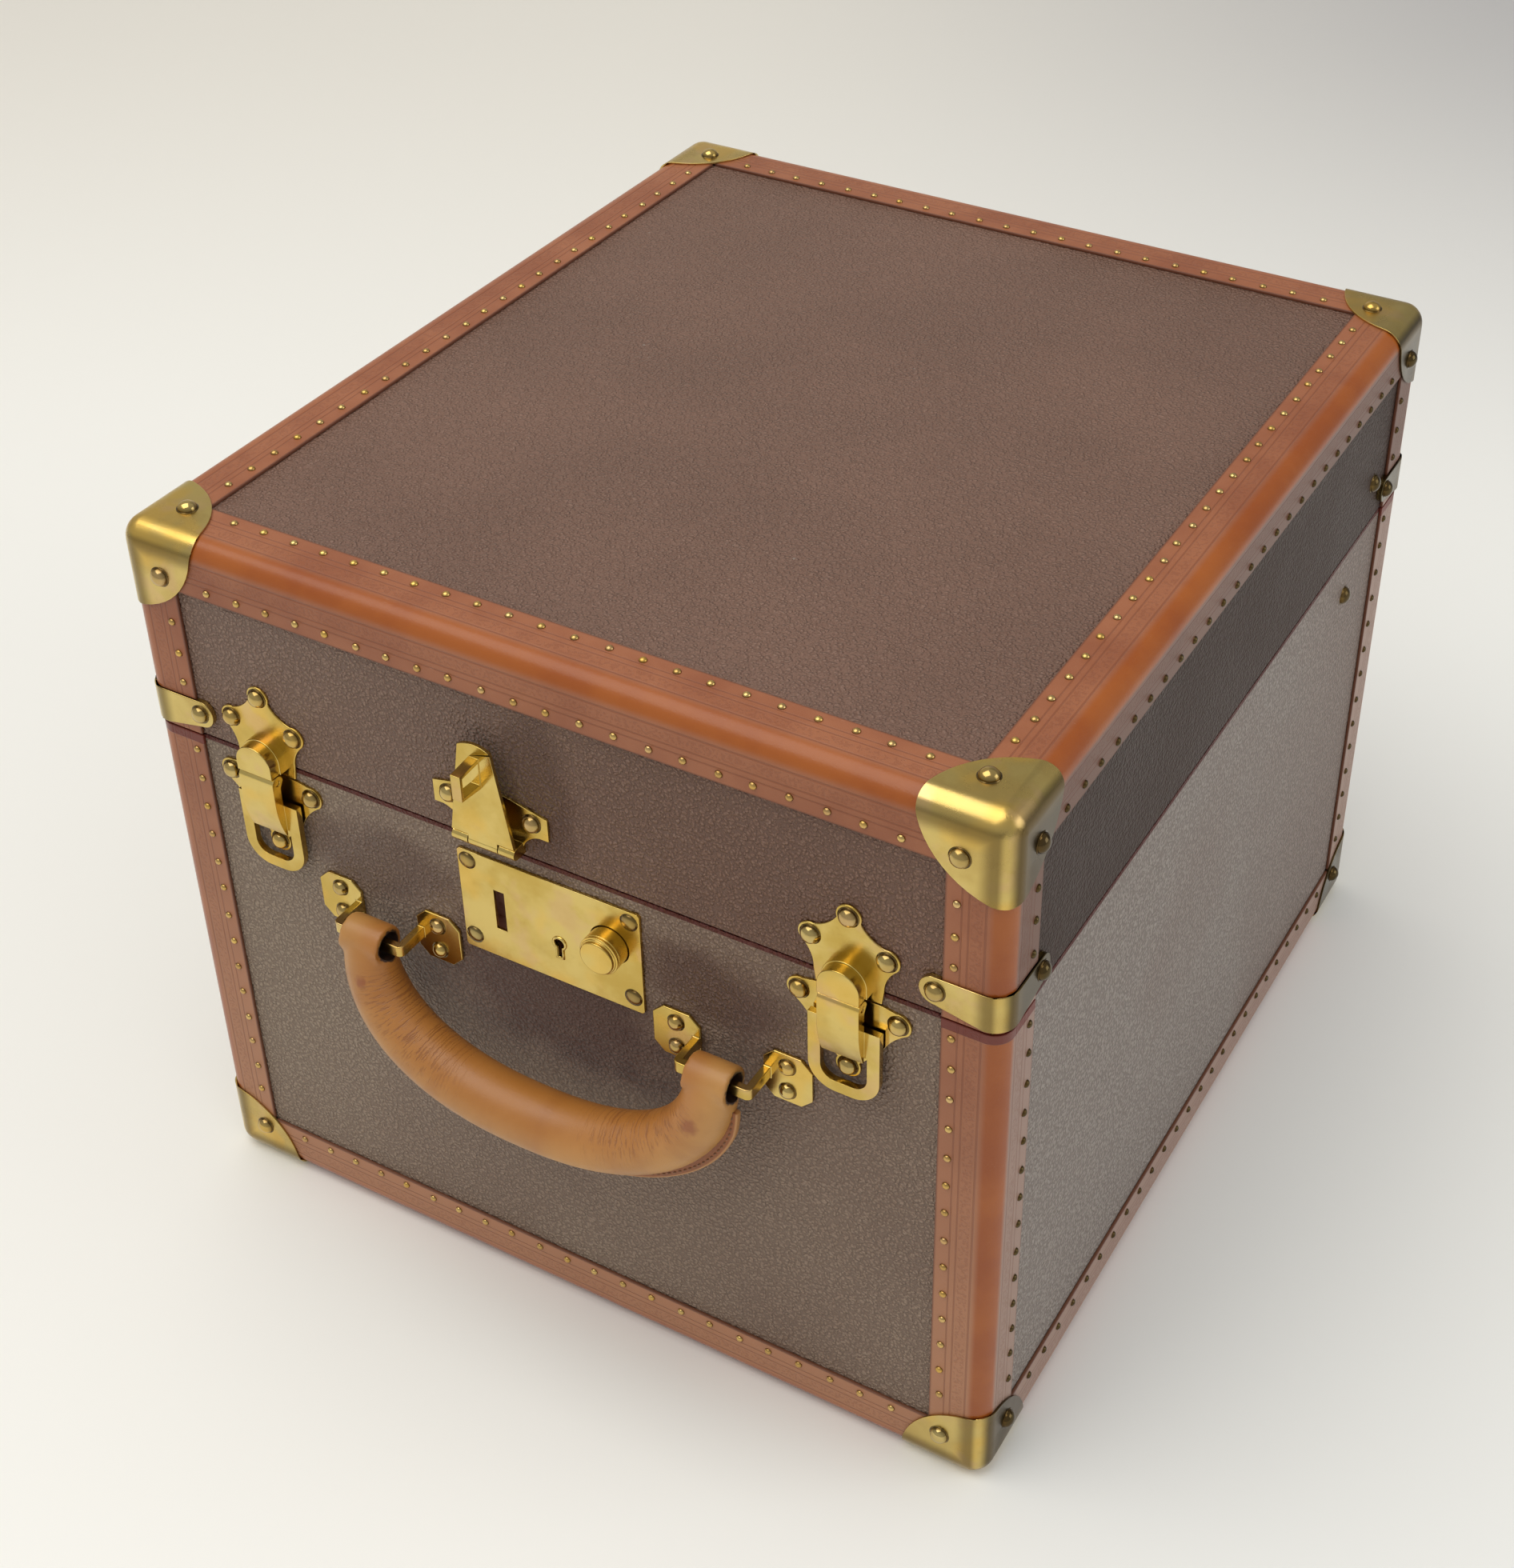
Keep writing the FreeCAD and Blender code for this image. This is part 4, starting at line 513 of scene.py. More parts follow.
def set_on_points(tree, material, **placing):
    """Ends a tree: sets a shape on each point, and makes them one smooth mesh with a material."""
    points = add(tree, "GeometryNodeInstanceOnPoints", placing).outputs[0]
    solid = add(tree, "GeometryNodeRealizeInstances", {0: points}).outputs[0]
    smooth = add(tree, "GeometryNodeSetShadeSmooth", {0: solid}).outputs[0]
    painted = add(tree, "GeometryNodeSetMaterial", {"Geometry": smooth, "Material": material}).outputs[0]
    add(tree, "NodeGroupOutput", {0: painted})
    return tree


def own_height(tree):
    """How high each point lies in its own shape."""
    return axes(tree, add(tree, "GeometryNodeInputPosition").outputs[0])[2]


def gather(tree, x, y, z):
    """A vector from three numbers."""
    return add(tree, "ShaderNodeCombineXYZ", {0: x, 1: y, 2: z}).outputs[0]


def marked_rim(tree, head, radius):
    """Stores on a head how near each point is to its foot, for the painted shade there."""
    share = calc(tree, "DIVIDE", own_height(tree), radius)
    low = add(tree, "ShaderNodeMapRange", {0: share, 1: 0.08, 2: 0.5, 3: 1.0, 4: 0.0}).outputs[0]
    return add(tree, "GeometryNodeStoreNamedAttribute", {"Geometry": head, "Name": "rim", "Value": low},
               data_type="FLOAT", domain="POINT").outputs[0]


def make_tack_rows(material):
    """Nodes that set domed heads at a pitch along lines; the lines carry their outward direction."""
    sizes = {"Pitch": TACK_PITCH, "Head radius": 1.6 * MM, "Head height": 0.75, "Wander": 0.4 * MM}
    tree = new_group("tack_rows", "Geometry", {"Lines": "Geometry", **sizes}, {"Tacks": "Geometry"})
    given = add(tree, "NodeGroupInput").outputs
    rows = add(tree, "GeometryNodeMeshToCurve", {0: given["Lines"]}).outputs[0]
    spaced = add(tree, "GeometryNodeResampleCurve", {"Curve": rows, "Length": given["Pitch"]},
                 mode="LENGTH").outputs[0]
    facing = carried(tree, "facing")
    turn = add(tree, "FunctionNodeAlignRotationToVector", {"Vector": facing}, axis="Z").outputs[0]
    size = gather(tree, 1.0, 1.0, given["Head height"])
    most = given["Wander"]
    least = times(tree, most, -1.0)
    wander = {0: gather(tree, least, least, least), 1: gather(tree, most, most, most), "Seed": 7}
    stray = add(tree, "FunctionNodeRandomValue", wander, data_type="FLOAT_VECTOR").outputs[0]
    outward = vector_calc(tree, "PROJECT", stray, facing)
    along_face = vector_calc(tree, "SUBTRACT", stray, outward)
    moved = add(tree, "GeometryNodeSetPosition", {"Geometry": spaced, "Offset": along_face}).outputs[0]
    few_faces = {"Segments": 10, "Rings": 8, "Radius": given["Head radius"]}
    ball = add(tree, "GeometryNodeMeshUVSphere", few_faces).outputs[0]
    ball = marked_rim(tree, ball, given["Head radius"])
    return set_on_points(tree, material, Points=moved, Instance=ball, Rotation=turn, Scale=size)


def carrier(name, points, edges, **attributes):
    """Points and lines for a node tree to work on, with vectors or numbers stored on the points."""
    mesh = bpy.data.meshes.new(name)
    mesh.from_pydata(points, edges, [])
    for attribute, values in attributes.items():
        kind = "FLOAT_VECTOR" if isinstance(values[0], tuple) else "FLOAT"
        stored = mesh.attributes.new(attribute, kind, "POINT")
        field = "vector" if kind == "FLOAT_VECTOR" else "value"
        stored.data.foreach_set(field, numpy.array(values, dtype=float).ravel())
    made = bpy.data.objects.new(name, mesh)
    bpy.context.scene.collection.objects.link(made)
    return made


def grown(made, tree, name, **sizes):
    """Runs a node tree on a carrier and keeps the result as a plain mesh."""
    modifier = made.modifiers.new(tree.name, "NODES")
    modifier.node_group = tree
    for item in tree.interface.items_tree:
        if item.in_out == "INPUT" and item.name.replace(" ", "_").lower() in sizes:
            modifier[item.identifier] = sizes[item.name.replace(" ", "_").lower()]
    return settle(made, name)


# Tack heads get painted shade toward their foot.
tack_brass = make_brass("tack_brass", (0.66, 0.46, 0.17, 1), (0.5, 0.31, 0.1, 1), 0.16, 0.3, 0.2,
                        painted_rim_shade=0.8)
tack_rows = make_tack_rows(tack_brass)


def tack_lines(low, high, flat_z, flat_facing):
    """Rows on the legs of one half: along its flat edges, and up its four corners from low to high."""
    lines = []
    edge_z = flat_z - flat_facing * TACK_IN
    span_x, span_y = half_x - CAP_CLEAR, half_y - CAP_CLEAR
    for sign in (-1, 1):
        x, y = sign * (half_x - TACK_IN), sign * (half_y - TACK_IN)
        lines.append(((-span_x, y, flat_z), (span_x, y, flat_z), (0, 0, flat_facing)))
        lines.append(((-span_x, sign * half_y, edge_z), (span_x, sign * half_y, edge_z), (0, sign, 0)))
        lines.append(((x, -span_y, flat_z), (x, span_y, flat_z), (0, 0, flat_facing)))
        lines.append(((sign * half_x, -span_y, edge_z), (sign * half_x, span_y, edge_z), (sign, 0, 0)))
        for other in (-1, 1):
            y = other * half_y
            lines.append(((x, y, low), (x, y, high), (0, other, 0)))
            y = other * (half_y - TACK_IN)
            lines.append(((sign * half_x, y, low), (sign * half_x, y, high), (sign, 0, 0)))
    points, edges, facings = [], [], []
    for start, end, facing in lines:
        edges.append((len(points), len(points) + 1))
        points += [(x * MM, (y + CASE_BACK) * MM, z * MM) for x, y, z in (start, end)]
        facings += [tuple(float(value) for value in facing)] * 2
    return points, edges, facings


for body, low, high, flat_z, flat_facing in (("base", 42, SEAM - 8, foot_z + TACK_SUNK, -1),
                                             ("lid", SEAM + STRAP_CLEAR, 288, top_z, 1)):
    points, edges, facings = tack_lines(low, high, flat_z, flat_facing)
    rows = carrier(f"{body}_tack_lines", points, edges, facing=facings)
    seat(grown(rows, tack_rows, f"{body}_tacks"), body, "brass", None)


# Corner caps and straps: pressed sheet brass, riveted over the corners and round the lid's upright edges.
# They take the knocks, so they are polished bright with soft worn edges.
CAP_BALL, CAP_CENTRE = 8.95, 8
CAP_BEVEL = 0.35 * MM


def cap_skin(name, z):
    """The caps of one half, with a ball behind each rounded corner to close the pin-size openings there."""
    made = merged_copy(name)
    for side_x in (-1, 1):
        for side_y in (-1, 1):
            x, y = side_x * (half_x - CAP_CENTRE), side_y * (half_y - CAP_CENTRE) + CASE_BACK
            bmesh.ops.create_uvsphere(made, u_segments=32, v_segments=24, radius=CAP_BALL * MM,
                                      matrix=Matrix.Translation(Vector((x, y, z)) * MM))
    return softened(made, f"{name}_shown", CAP_BEVEL, angle=60.0)


# The caps get painted dark reflection beside their rounded edges.
cap_brass = make_brass("cap_brass", (0.64, 0.49, 0.17, 1), (0.54, 0.39, 0.125, 1), 0.14, 0.26, 0.12,
                       painted_bend_reflection=0.74)
seat(cap_skin("base_corners", foot_z + CAP_CENTRE), "base", "brass", cap_brass, "base_corners")
seat(cap_skin("lid_corners", top_z - CAP_CENTRE), "lid", "brass", cap_brass, "lid_corners")
reseat("lid_straps", "lid", "brass", cap_brass, CAP_BEVEL)


# Draw latches: stamped brass keepers with round-topped housings on the lid, and levers with pull loops on
# the base. The plates are riveted on. Each housing has a collar round its foot, and each lever turns on a
# pin between two lugs.
LATCH_X = {"left": -129, "right": 125.5}
COLLAR_WALL = 1.2


def arch_collar(name, x, radius, spring, foot, near, far):
    """A band round the arch of a housing, standing off the leather from near to far."""
    made = bmesh.new()
    turns = [math.pi * index / 40 for index in range(41)]
    rows = []
    for reach in (radius, radius - COLLAR_WALL):
        arch = [(reach * math.cos(turn), spring + reach * math.sin(turn)) for turn in turns]
        line = [(reach, -foot), *arch, (-reach, -foot)]
        for out in (near, far):
            y = FRONT_Y - out
            rows.append([made.verts.new(Vector((x + side, y, SEAM + rise)) * MM) for side, rise in line])
    outer_near, outer_far, inner_near, inner_far = rows
    for first, second in ((outer_near, outer_far), (outer_far, inner_far), (inner_far, inner_near)):
        for index in range(len(first) - 1):
            made.faces.new((first[index], first[index + 1], second[index + 1], second[index]))
    for end in (0, -1):
        made.faces.new((outer_near[end], outer_far[end], inner_far[end], inner_near[end]))
    return softened(made, name, bevel=0.3 * MM)


fitting_brass = make_brass("fitting_brass", (0.67, 0.505, 0.165, 1), (0.55, 0.38, 0.088, 1), 0.1, 0.22, 0.08)
for side, x in LATCH_X.items():
    reseat(f"latch_keeper_{side}", "lid", "brass", fitting_brass, bevel=0.4 * MM, segments=3)
    collar = arch_collar(f"latch_collar_{side}", x, radius=8.95, spring=2.2, foot=2.2, near=1.1, far=4.4)
    seat(collar, "lid", "brass", fitting_brass)
    reseat(f"latch_plate_{side}", "base", "brass", fitting_brass, bevel=0.35 * MM)
    reseat(f"latch_lever_{side}", f"latch_{side}", "brass", fitting_brass, bevel=0.5 * MM, segments=3)


# Lock: a flat brass face plate with a staple slot, a keyhole and a push button, over a steel case let into
# the board. Four rivets hold the plate, the button is turned with a raised face, and a bead rims the keyhole.
LOCK_Z = 205
BUTTON_X, BUTTON_Z = 26.4, LOCK_Z + 4.5
KEY_X, KEY_Z = 3.8, LOCK_Z - 4.7
KEY_SLOT, KEY_EYE = 1.45, 2.65


def skin_rings(made, rings):
    """Joins rings of points by faces and closes both ends."""
    for first, second in zip(rings, rings[1:]):
        for index in range(len(first)):
            after = (index + 1) % len(first)
            made.faces.new((first[index], first[after], second[after], second[index]))
    made.faces.new(rings[0])
    made.faces.new(rings[-1])


def turned_button(name, x, z, profile, around=72):
    """A turned piece on an axis along Y; the profile lists radius and distance off the leather."""
    made = bmesh.new()
    rows = []
    for radius, out in profile:
        ring = []
        for index in range(around):
            turn = 2 * math.pi * index / around
            side, rise = radius * math.cos(turn), radius * math.sin(turn)
            ring.append(made.verts.new(Vector((x + side, FRONT_Y - out, z + rise)) * MM))
        rows.append(ring)
    skin_rings(made, rows)
    return softened(made, name, bevel=0.25 * MM, angle=30.0)


def bead(name, points, radius):
    """A round bead along a closed line of points."""
    line = bpy.data.curves.new(name, "CURVE")
    line.dimensions = "3D"
    line.bevel_depth = radius * MM
    line.bevel_resolution = 3
    run = line.splines.new("POLY")
    run.points.add(len(points) - 1)
    run.points.foreach_set("co", [value for point in points for value in (*point, 1.0)])
    run.use_cyclic_u = True
    rough = bpy.data.objects.new(name, line)
    bpy.context.scene.collection.objects.link(rough)
    piece = settle(rough, name)
    piece.data.shade_smooth()
    return piece


reseat("lock_plate", "base", "brass", fitting_brass, bevel=0.3 * MM)
button_profile = [(8.2, 0.2), (8.2, 7.0), (7.95, 7.15), (7.95, 7.5), (8.2, 7.65), (8.2, 8.5), (7.5, 8.6),
                  (7.5, 9.0), (7.0, 9.1), (7.0, 10.2), (6.6, 10.5)]
button = turned_button("lock_button_turned", BUTTON_X, BUTTON_Z, button_profile)
seat(button, "button", "brass", fitting_brass, "lock_button")
eye_turns = [math.radians(-56 + 292 * index / 36) for index in range(37)]
key_line = [(KEY_SLOT, -6.9), (KEY_SLOT, -2.2)]
key_line += [(KEY_EYE * math.cos(turn), KEY_EYE * math.sin(turn)) for turn in eye_turns]
key_line += [(-KEY_SLOT, -2.2), (-KEY_SLOT, -6.9)]
key_rim = [Vector((KEY_X + side, FRONT_Y - 1.55, KEY_Z + rise)) * MM for side, rise in key_line]
seat(bead("keyhole_rim", key_rim, radius=0.62), "base", "brass", fitting_brass)
steel, tree, shader = new_material("lock_steel", metallic=1.0)
spot = place_on_piece(tree)
brushed = noise(tree, stretched(tree, spot, (1.0, 1.0, 40.0)), 120.0, 3.0)
rust = use_group(tree, scuffs, Vector=spot, Scale=60.0)["Mottle"]
feed(tree, shader, roughness=step(tree, brushed, 0.2, 0.8, 0.35, 0.6),
     base_color=blend(tree, step(tree, rust, 0.5, 0.75), (0.28, 0.28, 0.28, 1), (0.14, 0.08, 0.05, 1)))
dress(steel, "lock_bolt")
rusted, tree, shader = new_material("lock_rust", roughness=0.75)
crust = noise(tree, place_on_piece(tree), 260.0, 5.0, 0.65)
red_rust = blend(tree, step(tree, crust, 0.35, 0.65), (0.6, 0.3, 0.21, 1), (0.8, 0.46, 0.35, 1))
feed(tree, shader, base_color=red_rust)
raise_surface(tree, shader, crust, 0.5, 0.0005)
dress(rusted, "lock_case")


# Hasp: a winged plate on the lid and a tapering leaf on a pin, with a pierced staple standing on the leaf.
# Turned down, the staple drops into the slot of the lock; here it stands up, unlocked.
reseat("hasp_plate", "lid", "brass", fitting_brass, bevel=0.3 * MM)
reseat("hasp_leaf", "hasp", "brass", fitting_brass, bevel=0.3 * MM)


# Rivets: domed brass heads on every plate, cap and strap, and over the studs of the lid stays.
# Each is driven through its plate into the boards. Those of the lock plate are flatter, to pass under
# the hasp.
FULL_DOME, LOW_DOME = 0.72, 0.34
PLATE_OUT, LOCK_OUT, BRACKET_OUT, HINGE_OUT, CAP_OUT = 1.2, 1.5, 1.6, 1.4, 1
HASP_X, BRACKET_X, HINGE_X = -22.6, 77.4, 95
CAP_RIVET_IN, STRAP_RIVET_IN, STRAP_RIVET_UP = 18.5, 26, 11.5


def make_rivet_heads(material):
    """Nodes that set a domed head on each point, which carries its outward direction and head radius."""
    sizes = {"Head height": FULL_DOME, "Rim": 0.08}
    tree = new_group("rivet_heads", "Geometry", {"Points": "Geometry", **sizes}, {"Heads": "Geometry"})
    given = add(tree, "NodeGroupInput").outputs
    facing = carried(tree, "facing")
    radius = carried(tree, "radius", "FLOAT")
    turn = add(tree, "FunctionNodeAlignRotationToVector", {"Vector": facing}, axis="Z").outputs[0]
    ball = add(tree, "GeometryNodeMeshUVSphere", {"Segments": 32, "Rings": 20, "Radius": 1.0}).outputs[0]
    squat = gather(tree, 0.9, 0.9, given["Head height"])
    dome = add(tree, "GeometryNodeTransform", {"Geometry": ball, "Scale": squat}).outputs[0]
    flat = {"Vertices": 32, "Radius": 1.0, "Depth": given["Rim"]}
    disc = add(tree, "GeometryNodeMeshCylinder", flat).outputs[0]
    head = add(tree, "GeometryNodeJoinGeometry")
    tree.links.new(dome, head.inputs[0])
    tree.links.new(disc, head.inputs[0])
    hidden = add(tree, "FunctionNodeCompare", {0: own_height(tree), 1: -0.12},
                 operation="LESS_THAN").outputs[0]
    upper = add(tree, "GeometryNodeDeleteGeometry",
                {"Geometry": head.outputs[0], "Selection": hidden}).outputs[0]
    upper = marked_rim(tree, upper, 1.0)
    return set_on_points(tree, material, Points=given["Points"], Instance=upper, Rotation=turn, Scale=radius)


# Rivet heads get painted shade toward their foot.
rivet_brass = make_brass("rivet_brass", (0.6, 0.46, 0.18, 1), (0.46, 0.32, 0.11, 1), 0.07, 0.16, 0.12,
                         painted_rim_shade=0.85)
rivet_heads = make_rivet_heads(rivet_brass)
FACE_OUT = {"front": (0.0, -1.0, 0.0), "back": (0.0, 1.0, 0.0), "left": (-1.0, 0.0, 0.0),
            "right": (1.0, 0.0, 0.0), "top": (0.0, 0.0, 1.0)}
# Each rivet is its face, its place on the trunk and the radius of its head, in mm.
rivets = {"base": [], "lid": [], "lock": []}
from_edge = (CAP_OUT, -CAP_RIVET_IN, -STRAP_RIVET_IN)
for latch in LATCH_X.values():
    rivets["base"].append(("front", latch, -LEATHER_Y - PLATE_OUT, SEAM - 39.6, 4.2))
    for sign in (-1, 1):
        rivets["base"].append(("front", latch + sign * 19.5, -LEATHER_Y - PLATE_OUT, SEAM - 11.8, 4.2))
        rivets["lid"].append(("front", latch + sign * 14.8, -LEATHER_Y - PLATE_OUT, SEAM + 15.3, 4.2))
    rivets["lid"].append(("front", latch, -LEATHER_Y - PLATE_OUT, SEAM + 29, 4.2))
for sign in (-1, 1):
    rivets["lid"].append(("front", HASP_X + sign * 18.35, -LEATHER_Y - PLATE_OUT, SEAM + 17.8, 4.1))
    for height in (187.7, 224.2):
        rivets["lock"].append(("front", sign * 35.7, -LEATHER_Y - LOCK_OUT, height, 3.8))
    for offset in (-23.5, 23.5):
        for height in (171.9, 183.7):
            rivets["base"].append(("front", sign * BRACKET_X + offset, -LEATHER_Y - BRACKET_OUT, height, 3.7))
    for offset in (-21, 0, 21):
        for body, height in (("base", SEAM - 17), ("lid", SEAM + 17)):
            rivets[body].append(("back", sign * HINGE_X + offset, LEATHER_Y + HINGE_OUT, height, 3.6))
    flank = "left" if sign < 0 else "right"
    rivets["base"].append((flank, sign * LEATHER_X, 140.6, 212, 4.4))
    rivets["lid"].append((flank, sign * LEATHER_X, 164, 257, 4.4))
    outer_x, cap_x, strap_x = [sign * (half_x + move) for move in from_edge]
    for end in (-1, 1):
        face = "front" if end < 0 else "back"
        outer_y, cap_y, strap_y = [end * (half_y + move) for move in from_edge]
        for body, height in (("base", foot_z + CAP_RIVET_IN), ("lid", top_z - CAP_RIVET_IN)):
            rivets[body].append((face, cap_x, outer_y, height, 4.2))
            rivets[body].append((flank, outer_x, cap_y, height, 4.2))
        rivets["lid"].append(("top", cap_x, cap_y, top_z + CAP_OUT, 4.2))
        rivets["lid"].append((face, strap_x, outer_y, SEAM + STRAP_RIVET_UP, 4.1))
        rivets["lid"].append((flank, outer_x, strap_y, SEAM + STRAP_RIVET_UP, 4.1))
for group, heads in rivets.items():
    points = [(x * MM, (y + CASE_BACK) * MM, z * MM) for _, x, y, z, _ in heads]
    facings = [FACE_OUT[head[0]] for head in heads]
    radii = [head[-1] * MM for head in heads]
    spots = carrier(f"{group}_rivet_spots", points, [], facing=facings, radius=radii)
    dome = LOW_DOME if group == "lock" else FULL_DOME
    domed = grown(spots, rivet_heads, f"{group}_rivets", head_height=dome)
    seat(domed, "lid" if group == "lid" else "base", "brass", None)


# Handle brackets: eight-sided brass plates, each with a bent prong that enters the handle's leather loop.
# A pair stands at each end of the handle, with two rivets to a plate.
for side in ("left", "right"):
    reseat(f"handle_brackets_{side}", "base", "brass", fitting_brass, bevel=0.45 * MM, segments=3)


# Handle: tan bridle leather drawn wet round a stuffed core and sewn along its outer side, its ends rolled
# into loops. The leather creases across the bends and darkens where it is held.
GRIP_X, GRIP_TOP, GRIP_DROP = BRACKET_X, 177.8, 51.3
GRIP_OUT, GRIP_LEAN = 14.5, 8.0
GRIP_POWER = 2 / 2.25
PIVOT_Y = FRONT_Y - GRIP_OUT
END_WIDE, STUFFED_WIDE = 8.6, 4.6
END_DEEP, STUFFED_DEEP = 7.0, 6.0
SEWN_SIDE_IN = 3.2


def grip_middle(angle):
    """A point of the grip's middle line, half of a superellipse that leans out, and how far down it is."""
    across = math.copysign(abs(math.cos(angle)) ** GRIP_POWER, math.cos(angle))
    down = abs(math.sin(angle)) ** GRIP_POWER
    place = (GRIP_X * across, PIVOT_Y - GRIP_LEAN * down, GRIP_TOP - GRIP_DROP * down)
    return Vector(place) * MM, down


def grip_frame(angle):
    """The middle point, the sideways and outward directions and the half sizes of the grip's oval there."""
    middle, down = grip_middle(angle)
    before, after = grip_middle(max(angle - 0.01, 0.0))[0], grip_middle(min(angle + 0.01, math.pi))[0]
    run = (after - before).normalized()
    side = run.cross(Vector((0, -1, 0))).normalized()
    out = side.cross(run).normalized()
    swell = down ** 0.4
    wide, deep = END_WIDE + STUFFED_WIDE * swell, END_DEEP + STUFFED_DEEP * swell
    return middle, side, out, wide * MM, deep * MM


def sweep_grip(rings, around):
    """The stuffed grip as rings of points along its middle line, closed at both ends."""
    made = bmesh.new()
    loops = []
    for index in range(rings):
        angle = math.pi * (0.5 - 0.5 * math.cos(math.pi * index / (rings - 1)))
        middle, side, out, wide, deep = grip_frame(angle)
        ring = []
        for turn in range(around):
            theta = 2 * math.pi * turn / around
            reach = wide if math.cos(theta) > 0 else wide - SEWN_SIDE_IN * MM * math.sin(angle)
            spot = middle + side * reach * math.cos(theta) + out * deep * math.sin(theta)
            ring.append(made.verts.new(spot))
        loops.append(ring)
    skin_rings(made, loops)
    return made


def cross_rod(made, x, radius, half_length, segments=48):
    """Adds a rod along X through the handle's pivot line."""
    spot = Matrix.Translation(Vector((x, PIVOT_Y, GRIP_TOP)) * MM) @ Matrix.Rotation(math.pi / 2, 4, "Y")
    bmesh.ops.create_cone(made, cap_ends=True, segments=segments, radius1=radius * MM, radius2=radius * MM,
                          depth=2 * half_length * MM, matrix=spot)


core = sweep_grip(rings=90, around=48)
bores = bmesh.new()
for sign in (-1, 1):
    cross_rod(core, sign * GRIP_X, radius=8.0, half_length=9.0)
    cross_rod(bores, sign * GRIP_X, radius=5.6, half_length=20.0)
grip = as_object(core, "grip_raw")
bore_tool = as_object(bores, "grip_bores")
skin = grip.modifiers.new("skin", "REMESH")
skin.mode = "VOXEL"
skin.voxel_size = 0.9 * MM
relax = grip.modifiers.new("relax", "SMOOTH")
relax.factor = 0.5
relax.iterations = 6
opening = grip.modifiers.new("opening", "BOOLEAN")
opening.operation = "DIFFERENCE"
opening.object = bore_tool
opening.solver = "EXACT"
handle = settle(grip, "handle_leather")
bpy.data.objects.remove(bore_tool)
handle.data.shade_smooth()
handle.data.set_sharp_from_angle(angle=math.radians(50))
points = numpy.empty(len(handle.data.vertices) * 3)
handle.data.vertices.foreach_get("co", points)
points = points.reshape(-1, 3)
angles = numpy.linspace(0, math.pi, 400)
line = numpy.array([grip_middle(angle)[0] for angle in angles])
nearest = numpy.array([numpy.argmin(((line - point) ** 2).sum(axis=1)) for point in points])
lengths = numpy.concatenate([[0], numpy.cumsum(numpy.linalg.norm(numpy.diff(line, axis=0), axis=1))])
away = points - line[nearest]
inner = line[nearest] - numpy.array([0, PIVOT_Y * MM, GRIP_TOP * MM])
spans = numpy.linalg.norm(away, axis=1) * numpy.linalg.norm(inner, axis=1)
leaning = (away * inner).sum(axis=1) / numpy.maximum(spans, 1e-9)
for name, values in (("along", lengths[nearest]), ("outward", leaning)):
    handle.data.attributes.new(name, "FLOAT", "POINT").data.foreach_set("value", values)
handle_leather, tree, shader = new_material("handle_leather", coat_roughness=0.3, coat_weight=0.12)
spot = place_on_piece(tree)
along = add(tree, "ShaderNodeAttribute", attribute_name="along").outputs["Fac"]
outward = add(tree, "ShaderNodeAttribute", attribute_name="outward").outputs["Fac"]
total = float(lengths[-1])
from_middle = calc(tree, "ABSOLUTE", minus(tree, along, total / 2))
bend = times(tree, step(tree, from_middle, 0.02, 0.05), step(tree, from_middle, 0.085, 0.1, 1.0, 0.0))
inside = step(tree, outward, -0.6, 0.3, 1.0, 0.0)
around = gather(tree, along, times(tree, outward, 0.0022), 0.0)
fine_creases = noise(tree, around, 1100.0, 2.0)
creases = times(tree, step(tree, fine_creases, 0.5, 0.66), times(tree, bend, inside))
_, deep, up = axes(tree, spot)


def near_point(middle, radius):
    """One near a point, fading at a ragged edge; all in mm."""
    gap = vector_calc(tree, "DISTANCE", spot, tuple(value * MM for value in middle))
    ragged = plus(tree, gap, times(tree, noise(tree, spot, 420.0, 4.0), radius * MM))
    return step(tree, ragged, radius * 0.9 * MM, radius * 1.6 * MM, 1.0, 0.0)


squares = [calc(tree, "POWER", minus(tree, value, centre * MM), 2.0)
           for value, centre in ((deep, PIVOT_Y), (up, GRIP_TOP))]
from_pin = calc(tree, "SQRT", plus(tree, *squares))
# Near black within about 7 mm of the pin's line, round the bore.
darkened_round_pin = step(tree, plus(tree, from_pin, times(tree, noise(tree, spot, 600.0, 3.0), 2.4 * MM)),
              7.0 * MM, 8.0 * MM, 1.0, 0.0)
age = use_group(tree, scuffs, Vector=spot, Scale=34.0)
pores = use_group(tree, pebble_grain, Vector=spot, Scale=2200.0)
tan = mottled(tree, age, (0.4, 0.18, 0.042, 1), (0.52, 0.255, 0.066, 1))
tan = blend(tree, step(tree, outward, -0.9, 0.7, 0.7, 0.0), tan, (0.4, 0.14, 0.02, 1))
streaks = step(tree, noise(tree, around, 60.0, 3.0), 0.45, 0.7, 0.0, 0.4)
tan = blend(tree, streaks, tan, (0.34, 0.12, 0.022, 1))
for middle, radius in (((74.5, -215.5, 163.5), 4.4), ((-74, -214, 166), 3.2)):
    tan = blend(tree, times(tree, near_point(middle, radius), 0.55), tan, (0.2, 0.03, 0.012, 1))
# Painted shade: the creases are painted darker.
tan = blend(tree, times(tree, creases, 0.55), tan, (0.2, 0.06, 0.014, 1))
tan = blend(tree, times(tree, age["Specks"], 0.4), tan, (0.12, 0.04, 0.015, 1))
tan = blend(tree, darkened_round_pin, tan, (0.035, 0.018, 0.012, 1))
feed(tree, shader, base_color=tan, roughness=step(tree, age["Mottle"], 0.3, 0.7, 0.34, 0.48))
relief = minus(tree, times(tree, pores["Height"], 0.15), creases)
raise_surface(tree, shader, relief, 0.45, 0.0005)
seat(handle, "handle", "handle", handle_leather, "handle_grip")


